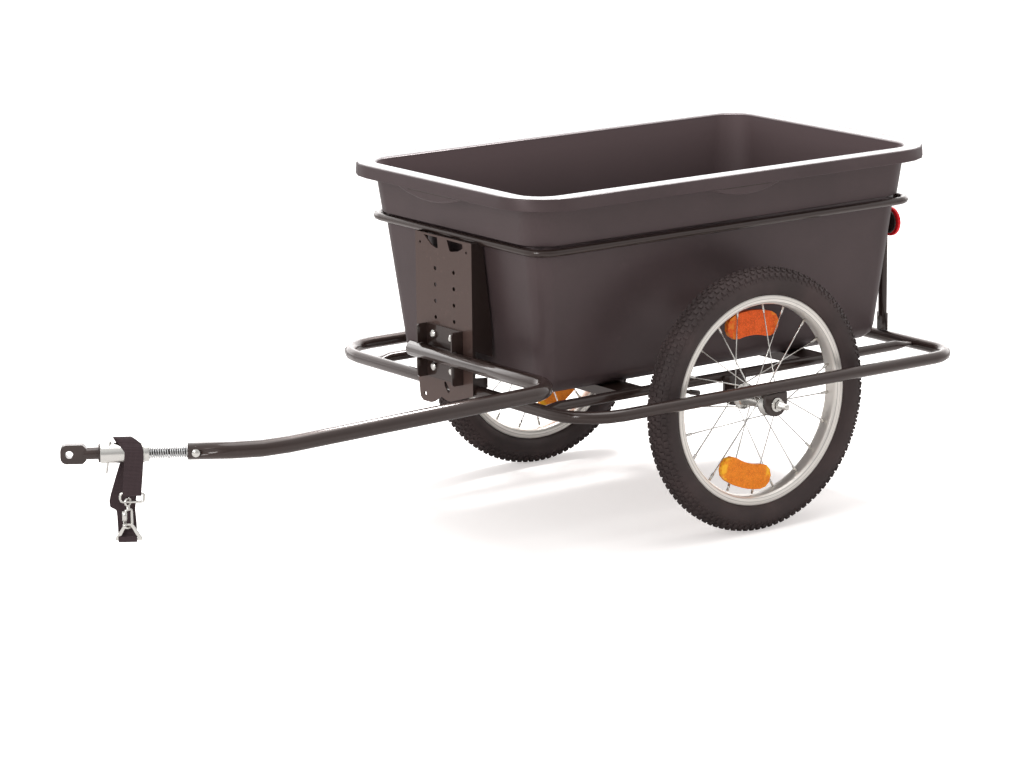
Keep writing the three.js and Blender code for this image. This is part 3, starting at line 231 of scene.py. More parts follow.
class Finish:
    """One procedural material on Object coordinates."""

    def __init__(self, name):
        self.material = bpy.data.materials.new(name)
        self.material.use_nodes = True
        self.tree = self.material.node_tree
        self.shader = self.tree.nodes["Principled BSDF"]
        self.place = self.node("ShaderNodeTexCoord").outputs["Object"]

    @classmethod
    def of_tree(cls, tree, coordinates):
        """The same helpers on a node tree that already exists."""
        made = cls.__new__(cls)
        made.tree = tree
        made.place = made.node("ShaderNodeTexCoord").outputs[coordinates]
        return made

    def feed(self, socket, value):
        if isinstance(value, Field):
            self.tree.links.new(value.socket, socket)
        elif isinstance(value, bpy.types.NodeSocket):
            self.tree.links.new(value, socket)
        else:
            socket.default_value = value

    def node(self, kind, settings=None, inputs=None):
        made = self.tree.nodes.new(kind)
        for name, value in (settings or {}).items():
            setattr(made, name, value)
        for name, value in (inputs or {}).items():
            self.feed(made.inputs[name], value)
        return made

    def math(self, operation, *values):
        made = self.node(
            "ShaderNodeMath", {"operation": operation}, dict(enumerate(values))
        )
        return Field(self, made.outputs[0])

    def noise(self, scale, detail=4.0, roughness=0.55, place=None):
        made = self.node("ShaderNodeTexNoise", None, {
            "Vector": place or self.place, "Scale": scale, "Detail": detail,
            "Roughness": roughness,
        })
        return Field(self, made.outputs[0])

    def cells(self, scale):
        made = self.node("ShaderNodeTexVoronoi", None, {"Vector": self.place, "Scale": scale})
        return Field(self, made.outputs["Distance"])

    def step(self, field, low, high, to_low=0.0, to_high=1.0):
        made = self.node("ShaderNodeMapRange", None, {
            "Value": field, "From Min": low, "From Max": high,
            "To Min": to_low, "To Max": to_high,
        })
        return Field(self, made.outputs[0])

    def between(self, field, start, full, fade, end):
        """1 from full to fade, and 0 before start and after end."""
        return self.step(field, start, full) * self.step(field, end, fade)

    def waves(self, field, pitch):
        return self.math("SINE", field * (2 * math.pi / pitch))

    def axes(self, place=None):
        made = self.node("ShaderNodeSeparateXYZ", None, {"Vector": place or self.place})
        return [Field(self, made.outputs[i]) for i in range(3)]

    def stretched(self, scale):
        made = self.node("ShaderNodeMapping", {"vector_type": "POINT"}, {
            "Vector": self.place, "Scale": scale,
        })
        return made.outputs[0]

    def facing(self):
        return self.node("ShaderNodeNewGeometry").outputs["Normal"]

    def vectors(self, operation, first, second):
        return self.node("ShaderNodeVectorMath", {"operation": operation}, {
            0: first, 1: second,
        })

    def along(self, direction, place=None):
        made = self.vectors("DOT_PRODUCT", place or self.place, direction)
        return Field(self, made.outputs["Value"])

    def mix(self, share, first, second):
        made = self.node("ShaderNodeMix", {"data_type": "RGBA"}, {
            0: share, 6: first, 7: second,
        })
        return made.outputs[2]

    def bump(self, height, strength, distance):
        made = self.node("ShaderNodeBump", None, {
            "Height": height, "Strength": strength, "Distance": distance,
        })
        self.feed(self.shader.inputs["Normal"], made.outputs[0])

    def complete(self, sockets):
        """Feeds the shader's sockets, by their own names, and gives the material."""
        for name, value in sockets.items():
            self.feed(self.shader.inputs[name], value)
        return self.material


def tone(colour, factor=1.0):
    """A colour made darker or paler, with its alpha."""
    return (*[min(1.0, c * factor) for c in colour[:3]], 1.0)


def wheel_fields(finish):
    """Distance from the axle and angle round it, for pieces centred on the wheel axle."""
    middle = wheel_place("left")[0]
    x, y, z = finish.axes()
    across = x - middle.x
    upward = z - middle.z
    radius = finish.math("SQRT", across * across + upward * upward)
    angle = finish.math("ARCTAN2", upward, across)
    return radius, angle, y


# Finishes
# Where a cloudy noise turns from one tone to the other
CLOUD = (0.35, 0.70)
# Tints that keep black plastic and paint warm
WARM_COAT = (1.0, 0.90, 0.87, 1.0)
WARM_GLOSS = (1.0, 0.86, 0.82, 1.0)
TUB_GLOSS = (1.0, 0.85, 0.86, 1.0)

# Depths under the tub's rim, and distances in from its edge
INSIDE_START = (1 * MM, 5 * MM)
INNER_FLOOR_START = (30 * MM, 40 * MM)
# How deep under the rim the painted light inside the tub turns into painted shade
PAINTED_LIGHT_FADE = (20 * MM, 150 * MM)
RIM_TOP_SKIN = (2 * MM, 0.6 * MM)
RIM_EDGE_ROUND = (5 * MM, 13 * MM)
# A point in the tub, up from its floor, from which the outer faces look away
TUB_CORE_HEIGHT = 0.1
FACE_TURN = (0.004, -0.004)

# Radii of the plain and the ribbed band on a tyre's wall
PLAIN_BAND = (166 * MM, 169 * MM, 181 * MM, 184 * MM)
RIB_BAND = (183 * MM, 185 * MM, 189 * MM, 191 * MM)
WALL_RING_PITCH = 2.6 * MM
WALL_RIBS = 160.0
RIM_LINE_PITCH = 4.6 * MM
# Where a lens's plain ends start, as shares of half its length
LENS_ENDS = (0.66, 0.74)
# Pitches of the yarns along the strap and of the wefts up it
YARN_PITCH = 1.6 * MM
WEFT_PITCH = 1.9 * MM


def tub_finish():
    """Moulded plastic: shiny on top of the rim, with painted light just inside it and painted
    shade deeper in and on the floor.
    """
    finish = Finish("tub_plastic_grained")
    colour = colours().tub
    low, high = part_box("tub")
    middle = (low + high) / 2
    half = (high - low) / 2
    facing = finish.facing()
    core = (middle.x, middle.y, low.z + TUB_CORE_HEIGHT)
    outward = finish.vectors("SUBTRACT", finish.place, core).outputs[0]
    leaving = finish.along(outward, facing)
    x, y, z = finish.axes()
    _, _, up = finish.axes(facing)
    depth = high.z - z
    inside = finish.step(leaving, *FACE_TURN) * finish.step(depth, *INSIDE_START)
    inner_floor = finish.step(up, 0.25, 0.6) * finish.step(depth, *INNER_FLOOR_START)
    shaded_inside = finish.math("MAXIMUM", inside, inner_floor)
    along_edge = half.x - finish.math("ABSOLUTE", x - middle.x)
    across_edge = half.y - finish.math("ABSOLUTE", y - middle.y)
    edge = finish.math("MINIMUM", along_edge, across_edge)
    flat = finish.step(up, 0.90, 0.99) * finish.step(depth, *RIM_TOP_SKIN)
    rim_top = flat * finish.step(edge, *RIM_EDGE_ROUND)
    cloud = finish.noise(scale=7.0, detail=5.0)
    grain = finish.noise(scale=900.0, detail=2.0, roughness=0.7)
    flow = finish.noise(scale=1.0, detail=3.0, place=finish.stretched((6, 6, 60)))
    scuff = finish.step(finish.noise(scale=26.0, detail=6.0, roughness=0.7), 0.60, 0.74)
    shade = finish.mix(finish.step(cloud, 0.35, 0.68), tone(colour, 0.88), tone(colour, 1.16))
    worn = finish.mix(scuff * 0.22, shade, tone(colour, 2.1))
    # Painted light on the inner wall just under the rim; painted shade deeper in and on the inner
    # floor
    below = finish.step(depth, *PAINTED_LIGHT_FADE)
    lit = finish.mix(inside * (1 - below) * 0.75, worn, tone(colour, 2.3))
    deep = finish.mix(shaded_inside * below * 0.25 + inner_floor * 0.6, lit, tone(colour, 0.12))
    finish.bump(grain * 0.6 + flow * 0.4, strength=0.22, distance=0.35 * MM)
    return finish.complete({
        "Base Color": deep, "Coat Weight": rim_top,
        "Roughness": 0.30 + cloud * 0.10 + scuff * 0.12 + grain * 0.05 + shaded_inside * 0.25,
        "Specular Tint": TUB_GLOSS, "Specular IOR Level": 0.6,
        "Coat IOR": 1.65, "Coat Roughness": 0.16,
    })


def paint_finish(name="black_powder_coat", pale=1.0, coat=0.9, painted_side_shade=0.0):
    """Powder coat; painted_side_shade is how far the faces turned to the part's sides are darkened
    as painted shade.
    """
    finish = Finish(name)
    colour = tone(colours().paint, pale)
    cloud = finish.noise(scale=9.0, detail=4.0)
    peel = finish.noise(scale=420.0, detail=2.0, roughness=0.6)
    dust = finish.step(finish.noise(scale=60.0, detail=8.0, roughness=0.75), 0.60, 0.80)
    dusty = finish.mix(dust * 0.25, colour, tone(colour, 5.0))
    _, aside, _ = finish.axes(finish.facing())
    side_on = finish.step(finish.math("ABSOLUTE", aside), 0.6, 0.9)
    # Painted shade on the faces turned to the part's sides
    shade = finish.mix(side_on * painted_side_shade, dusty, tone(colour, 0.15))
    finish.bump(peel, strength=0.16, distance=0.25 * MM)
    return finish.complete({
        "Base Color": shade, "Roughness": 0.32 + cloud * 0.12 + dust * 0.16,
        "Specular IOR Level": 0.35, "Specular Tint": WARM_GLOSS,
        "Coat Weight": coat, "Coat Roughness": 0.06, "Coat Tint": WARM_COAT,
    })


def rubber_finish():
    """Moulded rubber: fine rings on the wall, a plain band and ribs outside it."""
    finish = Finish("tyre_rubber_moulded")
    colour = colours().rubber
    radius, angle, _ = wheel_fields(finish)
    cloud = finish.noise(scale=14.0, detail=5.0)
    fine = finish.noise(scale=700.0, detail=3.0, roughness=0.7)
    rings = finish.waves(radius, WALL_RING_PITCH)
    plain = finish.between(radius, *PLAIN_BAND)
    ribs = finish.math("SINE", angle * WALL_RIBS)
    ribbed = finish.between(radius, *RIB_BAND)
    dusty = finish.step(cloud, 0.45, 0.75)
    shade = finish.mix(dusty * 0.5, tone(colour, 0.85), tone(colour, 1.9))
    relief = rings * (1 - plain) * 0.35 + ribs * ribbed * 0.5 + fine * 0.3
    finish.bump(relief, strength=0.30, distance=0.5 * MM)
    return finish.complete({
        "Base Color": shade, "Roughness": 0.60 + cloud * 0.2 + fine * 0.08,
    })


def alloy_finish():
    """Turned alloy: fine lines round the rim, grooves darkened as painted shade, and a little
    grime.
    """
    finish = Finish("rim_alloy_turned")
    colour = colours().alloy
    radius, angle, y = wheel_fields(finish)
    turning = finish.node("ShaderNodeCombineXYZ", None, {
        0: radius * 2600.0, 1: angle * 0.8, 2: y * 1500.0,
    }).outputs[0]
    turned = finish.noise(scale=1.0, detail=3.0, roughness=0.6, place=turning)
    cloud = finish.noise(scale=18.0, detail=4.0)
    grime = finish.step(finish.noise(scale=45.0, detail=6.0, roughness=0.7), 0.58, 0.78)
    groove = finish.step(finish.waves(radius, RIM_LINE_PITCH), 0.70, 0.95)
    # Painted shade in the grooves, over patches of grime
    shade = finish.mix(grime * 0.25 + groove * 0.7, tone(colour), tone(colour, 0.42))
    finish.bump(turned * 0.4 + groove, strength=0.25, distance=0.2 * MM)
    return finish.complete({
        "Base Color": shade, "Metallic": 0.7,
        "Roughness": 0.26 + turned * 0.10 + cloud * 0.10,
    })


def steel_finish():
    finish = Finish("bright_steel")
    colour = colours().steel
    cloud = finish.noise(scale=35.0, detail=5.0)
    fine = finish.noise(scale=1400.0, detail=2.0, roughness=0.6)
    stain = finish.step(finish.noise(scale=110.0, detail=6.0, roughness=0.7), 0.60, 0.80)
    shade = finish.mix(stain * 0.4, tone(colour), tone(colour, 0.55))
    finish.bump(fine, strength=0.08, distance=0.1 * MM)
    return finish.complete({
        "Base Color": shade, "Metallic": 1.0,
        "Roughness": 0.16 + cloud * 0.14 + stain * 0.12,
    })


def dark_steel_finish():
    finish = Finish("dark_zinc")
    cloud = finish.noise(scale=60.0, detail=5.0)
    fine = finish.noise(scale=900.0, detail=2.0, roughness=0.6)
    shade = finish.mix(
        finish.step(cloud, *CLOUD), (0.035, 0.032, 0.031, 1), (0.11, 0.10, 0.095, 1)
    )
    finish.bump(fine, strength=0.15, distance=0.15 * MM)
    return finish.complete({
        "Base Color": shade, "Metallic": 0.85, "Roughness": 0.30 + cloud * 0.2,
    })


def black_plastic_finish():
    finish = Finish("black_moulded_plastic")
    cloud = finish.noise(scale=30.0, detail=4.0)
    grain = finish.noise(scale=1100.0, detail=2.0, roughness=0.7)
    shade = finish.mix(
        finish.step(cloud, *CLOUD), (0.010, 0.006, 0.005, 1), (0.026, 0.017, 0.015, 1)
    )
    finish.bump(grain, strength=0.2, distance=0.2 * MM)
    return finish.complete({
        "Base Color": shade, "Roughness": 0.38 + cloud * 0.16, "Specular Tint": WARM_GLOSS,
        "Coat Weight": 0.9, "Coat Roughness": 0.06, "Coat Tint": WARM_COAT,
    })


def lens_finish(name, colour, ends=None, middle=None, half_length=1.0):
    """A reflector: prism cells painted lighter and darker as painted glints, with plain ends where
    a middle is given.
    """
    finish = Finish(name)
    prisms = finish.cells(scale=520.0)
    blocks = finish.cells(scale=90.0)
    cloud = finish.noise(scale=40.0, detail=3.0)
    # Painted glints: the prism cells and larger blocks are painted lighter and darker
    bright = finish.step(prisms, 0.15, 0.62)
    shade = finish.mix(bright, tone(colour, 1.12), tone(colour, 0.72))
    lit = finish.mix(finish.step(blocks, 0.25, 0.75) * 0.35, shade, tone(colour, 1.35))
    relief = prisms
    if ends:
        offset = finish.vectors("DISTANCE", finish.place, tuple(middle))
        reach = Field(finish, offset.outputs["Value"])
        end = finish.step(reach, *(share * half_length for share in LENS_ENDS))
        patch = finish.step(finish.noise(scale=120.0, detail=2.0), 0.42, 0.58)
        lit = finish.mix(end * patch, lit, tone(ends))
        relief = prisms * (1 - end)
    finish.bump(relief, strength=0.35, distance=0.6 * MM)
    return finish.complete({
        "Base Color": lit, "Roughness": 0.30 + cloud * 0.12,
        "Specular Tint": tone(colour, 1.2), "Coat Weight": 0.12, "Coat Roughness": 0.08,
    })


def spring_finish():
    finish = Finish("spring_wire")
    cloud = finish.noise(scale=220.0, detail=4.0)
    fine = finish.noise(scale=1600.0, detail=2.0, roughness=0.6)
    shade = finish.mix(
        finish.step(cloud, *CLOUD), (0.55, 0.55, 0.56, 1), (0.85, 0.85, 0.84, 1)
    )
    finish.bump(fine, strength=0.1, distance=0.1 * MM)
    return finish.complete({
        "Base Color": shade, "Metallic": 1.0, "Roughness": 0.22 + cloud * 0.15,
    })


def webbing_finish():
    """Woven strap: ribs across the band and yarns along it."""
    finish = Finish("woven_webbing")
    colour = colours().webbing
    _, along, _ = coupling_place()
    _, _, z = finish.axes()
    yarns = finish.waves(finish.along(tuple(along)), YARN_PITCH)
    rows = finish.math("SINE", z * (2 * math.pi / WEFT_PITCH) + yarns * 1.2)
    fuzz = finish.noise(scale=1500.0, detail=3.0, roughness=0.7)
    cloud = finish.noise(scale=45.0, detail=4.0)
    weave = yarns * 0.5 + rows * 0.5 + fuzz * 0.6
    shade = finish.mix(finish.step(weave, -0.6, 1.2), tone(colour, 0.6), tone(colour, 2.2))
    finish.bump(weave, strength=0.5, distance=0.5 * MM)
    return finish.complete({
        "Base Color": shade, "Roughness": 0.82 + cloud * 0.12,
        "Specular IOR Level": 0.25, "Sheen Weight": 0.05,
    })


MAKERS = {
    "spring_wire": spring_finish,
    "tub_plastic": tub_finish,
    "black_paint": paint_finish,
    # The plate's side flanges are darkened with painted shade
    "plate_paint": lambda: paint_finish(
        "satin_powder_coat", pale=3.2, coat=0.4, painted_side_shade=0.9
    ),
    "tyre_rubber": rubber_finish,
    "rim_alloy": alloy_finish,
    "bright_steel": steel_finish,
    "dark_steel": dark_steel_finish,
    "black_plastic": black_plastic_finish,
    "red_lens": lambda: lens_finish("red_prism_lens", colours().red),
    "webbing": webbing_finish,
}
made_finishes = {}


def finish_of(slot):
    """The finish of a slot, made once."""
    if slot not in made_finishes:
        made_finishes[slot] = MAKERS[slot]()
    return made_finishes[slot]


# Mesh helpers
MERGE_REACH = 0.002 * MM
# Degrees by which an edge is sharper than the smoothing before it is bevelled
BEVEL_EXTRA_ANGLE = 5


def alone(piece):
    """Makes a piece the only selected one and the active one."""
    bpy.ops.object.select_all(action="DESELECT")
    piece.select_set(True)
    bpy.context.view_layer.objects.active = piece


def in_edit(action):
    """Does an action on the whole mesh of the active piece, in edit mode."""
    bpy.ops.object.mode_set(mode="EDIT")
    bpy.ops.mesh.select_all(action="SELECT")
    action()
    bpy.ops.object.mode_set(mode="OBJECT")


def apply_modifiers(piece):
    alone(piece)
    for modifier in list(piece.modifiers):
        bpy.ops.object.modifier_apply(modifier=modifier.name)


def named(piece, name, finish, smooth):
    """Settles a piece where it is and gives it its name, finish and smoothing."""
    alone(piece)
    bpy.ops.object.transform_apply(location=True, rotation=True, scale=True)
    bpy.ops.object.shade_smooth_by_angle(angle=math.radians(smooth))
    piece.name = name
    piece.data.name = name
    piece.data.materials.clear()
    piece.data.materials.append(finish)


def finished(piece, name, node, smooth=40, slot=None, finish=None):
    """Names a piece, gives it its finish and lets it ride where the node rides."""
    slot = slot or SLOTS[node]
    named(piece, name, finish or finish_of(slot), smooth)
    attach(piece, BODIES[node])


def dressed(node, bevel=None, smooth=40, weighted=True, finish=None):
    """A merged copy of a CAD node with rounded edges, which then stands for it."""
    piece = frame["nodes"][node].copy()
    piece.data = frame["nodes"][node].data.copy()
    bpy.context.scene.collection.objects.link(piece)
    piece.parent = None
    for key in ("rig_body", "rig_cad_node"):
        if key in piece:
            del piece[key]
    alone(piece)
    in_edit(lambda: bpy.ops.mesh.remove_doubles(threshold=MERGE_REACH))
    if bevel:
        rounding = piece.modifiers.new("rounding", "BEVEL")
        rounding.width = bevel
        rounding.segments = 2
        rounding.limit_method = "ANGLE"
        rounding.angle_limit = math.radians(smooth + BEVEL_EXTRA_ANGLE)
        rounding.use_clamp_overlap = True
    finished(piece, f"{node}_dressed", node, smooth, finish=finish)
    if weighted:
        normals = piece.modifiers.new("normals", "WEIGHTED_NORMAL")
        normals.keep_sharp = True
    apply_modifiers(piece)
    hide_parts(node)
    return piece


def turned_ring(profile, steps):
    """A ring round Z from a closed list of (radius, height) points, as a new object."""
    radius, height = profile[0]
    bpy.ops.object.select_all(action="DESELECT")
    bpy.ops.mesh.primitive_circle_add(
        vertices=steps, radius=radius, fill_type="NOTHING", location=(0, 0, height),
    )
    piece = bpy.context.active_object
    bpy.ops.object.transform_apply(location=True, rotation=True, scale=True)
    bpy.ops.object.mode_set(mode="EDIT")
    bpy.ops.mesh.select_all(action="SELECT")
    for (near, low), (far, high) in zip(profile, profile[1:]):
        bpy.ops.mesh.extrude_edges_move(
            TRANSFORM_OT_translate={"value": (0, 0, high - low)}
        )
        share = far / near
        bpy.ops.transform.resize(value=(share, share, 1), center_override=(0, 0, high))
    bpy.ops.mesh.select_all(action="DESELECT")
    bpy.ops.mesh.select_non_manifold()
    bpy.ops.mesh.bridge_edge_loops()
    bpy.ops.mesh.select_all(action="SELECT")
    bpy.ops.mesh.normals_make_consistent(inside=False)
    bpy.ops.object.mode_set(mode="OBJECT")
    return piece


def lay_on_axle(piece, middle):
    """Turns a piece made round Z so that it stands on the wheel axle, along Y."""
    piece.data.transform(Matrix.Translation(middle) @ Matrix.Rotation(math.radians(-90), 4, "X"))


def joined(pieces):
    """One piece made of several."""
    bpy.ops.object.select_all(action="DESELECT")
    for piece in pieces:
        piece.select_set(True)
    bpy.context.view_layer.objects.active = pieces[0]
    bpy.ops.object.join()
    return pieces[0]


# Finger grips of the tub
# How far a grip lies under the rim and behind the skirt, and how far its curve drops
GRIP_DEPTH = 18 * MM
GRIP_INSET = 2.5 * MM
GRIP_DROP = 11 * MM
END_GRIP_HALF = 74 * MM
SIDE_GRIP_HALF = 60.5 * MM
GRIP_BEAD_RADIUS = 1.8 * MM
GRIP_BEAD_STEPS = 400
GRIP_BEAD_SIDES = 10
# The dark strip over each grip is painted shadow: black plastic where the grip's recess lies in
# shade
SHADOW_STRIP_LENGTH_SHARE = 1.45
SHADOW_STRIP_THICKNESS = 2.4 * MM
SHADOW_STRIP_OUTWARD = 0.6 * MM


def grip_lips():
    """A bead round the foot of each finger grip and, over it under the skirt, a dark strip of
    painted shadow for the grip's recess.
    """
    low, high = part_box("tub")
    middle = (low + high) / 2
    half = (high - low) / 2
    level = high.z - GRIP_DEPTH
    lips = []
    shadow_strips = []
    for outward, reach, half_width in (
        (Vector((1, 0, 0)), half.x, END_GRIP_HALF), (Vector((-1, 0, 0)), half.x, END_GRIP_HALF),
        (Vector((0, 1, 0)), half.y, SIDE_GRIP_HALF), (Vector((0, -1, 0)), half.y, SIDE_GRIP_HALF),
    ):
        radius = (half_width ** 2 + GRIP_DROP ** 2) / (2 * GRIP_DROP)
        chord = radius - GRIP_DROP
        bpy.ops.object.select_all(action="DESELECT")
        bpy.ops.mesh.primitive_torus_add(
            major_segments=GRIP_BEAD_STEPS, minor_segments=GRIP_BEAD_SIDES,
            major_radius=radius, minor_radius=GRIP_BEAD_RADIUS,
        )
        lip = bpy.context.active_object
        in_edit(lambda: bpy.ops.mesh.bisect(
            plane_co=(0, -chord, 0), plane_no=(0, 1, 0), use_fill=True, clear_outer=True,
        ))
        basis = Matrix((UP.cross(outward), UP, outward)).transposed().to_4x4()
        place = Vector((middle.x, middle.y, level)) + outward * (reach - GRIP_INSET)
        lip.data.transform(Matrix.Translation(place + UP * chord) @ basis)
        lips.append(lip)
        bpy.ops.object.select_all(action="DESELECT")
        # A dark strip as painted shadow in the grip's recess
        bpy.ops.mesh.primitive_cube_add(size=1)
        slot = bpy.context.active_object
        span = (half_width * SHADOW_STRIP_LENGTH_SHARE, SHADOW_STRIP_THICKNESS, SHADOW_STRIP_THICKNESS)
        in_edit(lambda: bpy.ops.transform.resize(value=span))
        slot.data.transform(Matrix.Translation(place + outward * SHADOW_STRIP_OUTWARD) @ basis)
        shadow_strips.append(slot)
    finished(joined(lips), "tub_grip_lips", "tub")
    finished(joined(shadow_strips), "tub_grip_shadow_strips", "tub", slot="black_plastic")


# Tyres
TYRE_SEAT = 154.5 * MM
TYRE_STEPS = 144
CASING_STEPS = 32
TREAD_CLEARANCE = 0.1 * MM
WALL_CLEARANCE = 0.4 * MM
# How deep a block stands in the casing, and its top's size as a share of its foot's
TREAD_ROOT = 2 * MM
TREAD_TAPER = 0.78
# Rows of blocks: degrees across the casing, shift in pitches, mm across and mm round
TREAD_ROWS = (
    (10, 0.0, (6.5, 6.2)), (-10, 0.5, (6.5, 6.2)),
    (31, 0.5, (7.5, 6.0)), (-31, 0.0, (7.5, 6.0)),
    (53, 0.0, (7.0, 5.0)), (-53, 0.5, (7.0, 5.0)),
    (68, 0.5, (5.0, 3.4)), (-68, 0.0, (5.0, 3.4)),
)
# Rows from this tilt outwards are only this share as high
SHOULDER_TILT = 60
SHOULDER_SHARE = 0.45


def tread_block(tilt, turn, ring_radius, casing, size, height):
    """One tapered block on the casing, at an angle across it and one round it."""
    bpy.ops.object.select_all(action="DESELECT")
    bpy.ops.mesh.primitive_cube_add(size=1, location=(0, 0, 0))
    block = bpy.context.active_object
    span = (size[0], size[1], height + TREAD_ROOT)
    in_edit(lambda: bpy.ops.transform.resize(value=span))
    for vertex in block.data.vertices:
        if vertex.co.z > 0:
            vertex.co.x *= TREAD_TAPER
            vertex.co.y *= TREAD_TAPER
    around = Matrix.Rotation(turn, 4, "Z")
    outward = Matrix.Translation((ring_radius, 0, 0))
    across = Matrix.Rotation(math.pi / 2 - tilt, 4, "Y")
    lift = Matrix.Translation((0, 0, casing(tilt) + (height - TREAD_ROOT) / 2))
    block.data.transform(around @ outward @ across @ lift)
    return block


def tyre(side):
    """A casing of oval section with rows of blocks, one pitch repeated round the wheel."""
    middle, outer, half_width = wheel_place(side)
    height = sizes().tread_height
    pitches = sizes().tread_pitches
    casing_outer = outer - height - TREAD_CLEARANCE
    ring_radius = (TYRE_SEAT + casing_outer) / 2
    tall = (casing_outer - TYRE_SEAT) / 2
    wide = half_width - WALL_CLEARANCE
    bpy.ops.object.select_all(action="DESELECT")
    bpy.ops.mesh.primitive_torus_add(
        major_segments=TYRE_STEPS, minor_segments=CASING_STEPS,
        major_radius=ring_radius, minor_radius=tall,
    )
    casing = bpy.context.active_object
    in_edit(lambda: bpy.ops.transform.resize(value=(1, 1, wide / tall)))

    def reach(tilt):
        return 1 / math.hypot(math.cos(tilt) / tall, math.sin(tilt) / wide)

    pitch = 2 * math.pi / pitches
    blocks = [
        tread_block(
            math.radians(tilt), shift * pitch, ring_radius, reach,
            (size[0] * MM, size[1] * MM),
            height if abs(tilt) < SHOULDER_TILT else height * SHOULDER_SHARE,
        )
        for tilt, shift, size in TREAD_ROWS
    ]
    segment = joined(blocks)
    turner = bpy.data.objects.new("turner", None)
    bpy.context.scene.collection.objects.link(turner)
    turner.rotation_euler = (0, 0, pitch)
    bpy.context.view_layer.update()
    repeat = segment.modifiers.new("repeat", "ARRAY")
    repeat.use_relative_offset = False
    repeat.use_object_offset = True
    repeat.offset_object = turner
    repeat.count = pitches
    apply_modifiers(segment)
    bpy.data.objects.remove(turner)
    piece = joined([casing, segment])
    lay_on_axle(piece, middle)
    finished(piece, f"{side}_tyre_treaded", f"{side}_tyre")
    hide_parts(f"{side}_tyre")


# Rims
RIM_STEPS = 144
RIM_SMOOTH = 28
# Half of the section in mm, in from the flange's edge and in from the rim's side
RIM_SIDE_POINTS = (
    (13.0, 4.0), (11.2, 1.6), (8.5, 0.2), (7.7, 0.0), (1.2, 0.0), (0.2, 0.4),
    (0.0, 1.0), (0.4, 2.0), (5.5, 2.2),
)
# The section's other points, in from the flange's edge and out from the rim's middle
RIM_FOOT_POINTS = ((14.0, 8.0),)
RIM_WELL_POINTS = ((5.5, 7.5), (9.0, 5.5))


def rim(side):
    """A turned rim, its section mirrored about the wheel's middle plane."""
    middle, _, _ = wheel_place(side)
    low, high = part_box(f"{side}_rim")
    flange = (high.z - low.z) / 2
    half = (high.y - low.y) / 2
    outside = [
        *((flange - inward * MM, out * MM) for inward, out in RIM_FOOT_POINTS),
        *((flange - inward * MM, half - inset * MM) for inward, inset in RIM_SIDE_POINTS),
        *((flange - inward * MM, out * MM) for inward, out in RIM_WELL_POINTS),
    ]
    profile = outside + [(radius, -height) for radius, height in reversed(outside)]
    piece = turned_ring(profile, RIM_STEPS)
    lay_on_axle(piece, middle)
    finished(piece, f"{side}_rim_turned", f"{side}_rim", smooth=RIM_SMOOTH)
    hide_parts(f"{side}_rim")


# Coupling spring and its core
WIRE_SIDES = 12
CURL_STEPS = 28
WIRE_SMOOTH = 60
CORE_SIDES = 20
CORE_SMOOTH = 40
# How often each face of the core is halved, so that it can bend
CORE_CUTS = 2
# How far each half of the core reaches past the spring's middle
CORE_OVERLAP = 0.2 * MM


def coupling_frame(start):
    """Turns and moves a piece made along Z to the coupling's axis, start along it."""
    pivot, along, side = coupling_place()
    basis = Matrix((side.cross(along), side, along)).transposed().to_4x4()
    return Matrix.Translation(pivot + start * along) @ basis


def spring_half(name, first, start):
    """Half of the spring as one helix of wire, made round Z and laid along the coupling."""
    low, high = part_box("coupling_spring")
    outer = (high.z - low.z) / 2
    wire = sizes().spring_wire / 2
    curls = sizes().spring_curls // 2
    length = sizes().spring_length / 2
    pitch = (length - (wire if first else 0)) / curls
    bpy.ops.object.select_all(action="DESELECT")
    bpy.ops.mesh.primitive_circle_add(
        vertices=WIRE_SIDES, radius=wire, fill_type="NGON", location=(0, 0, 0),
        rotation=(math.radians(90), 0, 0),
    )
    piece = bpy.context.active_object
    bpy.ops.object.transform_apply(location=True, rotation=True, scale=True)
    in_edit(lambda: bpy.ops.transform.translate(value=(outer - wire, 0, 0)))
    coil = piece.modifiers.new("coil", "SCREW")
    coil.axis = "Z"
    coil.screw_offset = pitch
    coil.iterations = curls
    coil.steps = CURL_STEPS
    coil.render_steps = CURL_STEPS
    apply_modifiers(piece)
    in_edit(lambda: bpy.ops.mesh.normals_make_consistent(inside=False))
    piece.data.transform(coupling_frame(start))
    named(piece, name, finish_of("spring_wire"), WIRE_SMOOTH)
    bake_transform(piece)
    return piece


def core_half(name, start, end):
    """Half of the rod in the spring, with rings enough to bend."""
    low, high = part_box("spring_core")
    radius = (high.z - low.z) / 2
    bpy.ops.object.select_all(action="DESELECT")
    bpy.ops.mesh.primitive_cylinder_add(
        vertices=CORE_SIDES, radius=radius, depth=end - start,
    )
    piece = bpy.context.active_object
    in_edit(lambda: bpy.ops.mesh.bevel(
        offset=sizes().hardware_edge, segments=2, affect="EDGES",
    ))
    rings = piece.modifiers.new("rings", "SUBSURF")
    rings.subdivision_type = "SIMPLE"
    rings.levels = CORE_CUTS
    rings.render_levels = CORE_CUTS
    apply_modifiers(piece)
    piece.data.transform(coupling_frame((start + end) / 2))
    named(piece, name, finish_of("dark_steel"), CORE_SMOOTH)
    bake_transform(piece)
    return piece


# Safety strap
STRAP_SMOOTH = 60
# Degrees below which faces count as one, and above which an edge is creased
STRAP_FLAT_ANGLE = 1
STRAP_CREASE_ANGLE = 70
# Degrees that two triangles may differ by and still become one four-sided face
STRAP_QUAD_ANGLES = (60, 90)
STRAP_CREASE = 0.75
STRAP_ROUNDS = 3
# Rows of thread: mm above the ring, stitches to each side of the middle, half sizes,
# and how far beside the strap the rays start
STITCH_ROWS = (17, 20, 32, 35)
STITCHES_EACH_SIDE = 3
STITCH_PITCH = 2.4 * MM
THREAD_SIZE = (1.0 * MM, 0.35 * MM, 0.4 * MM)
RAY_START = 0.2


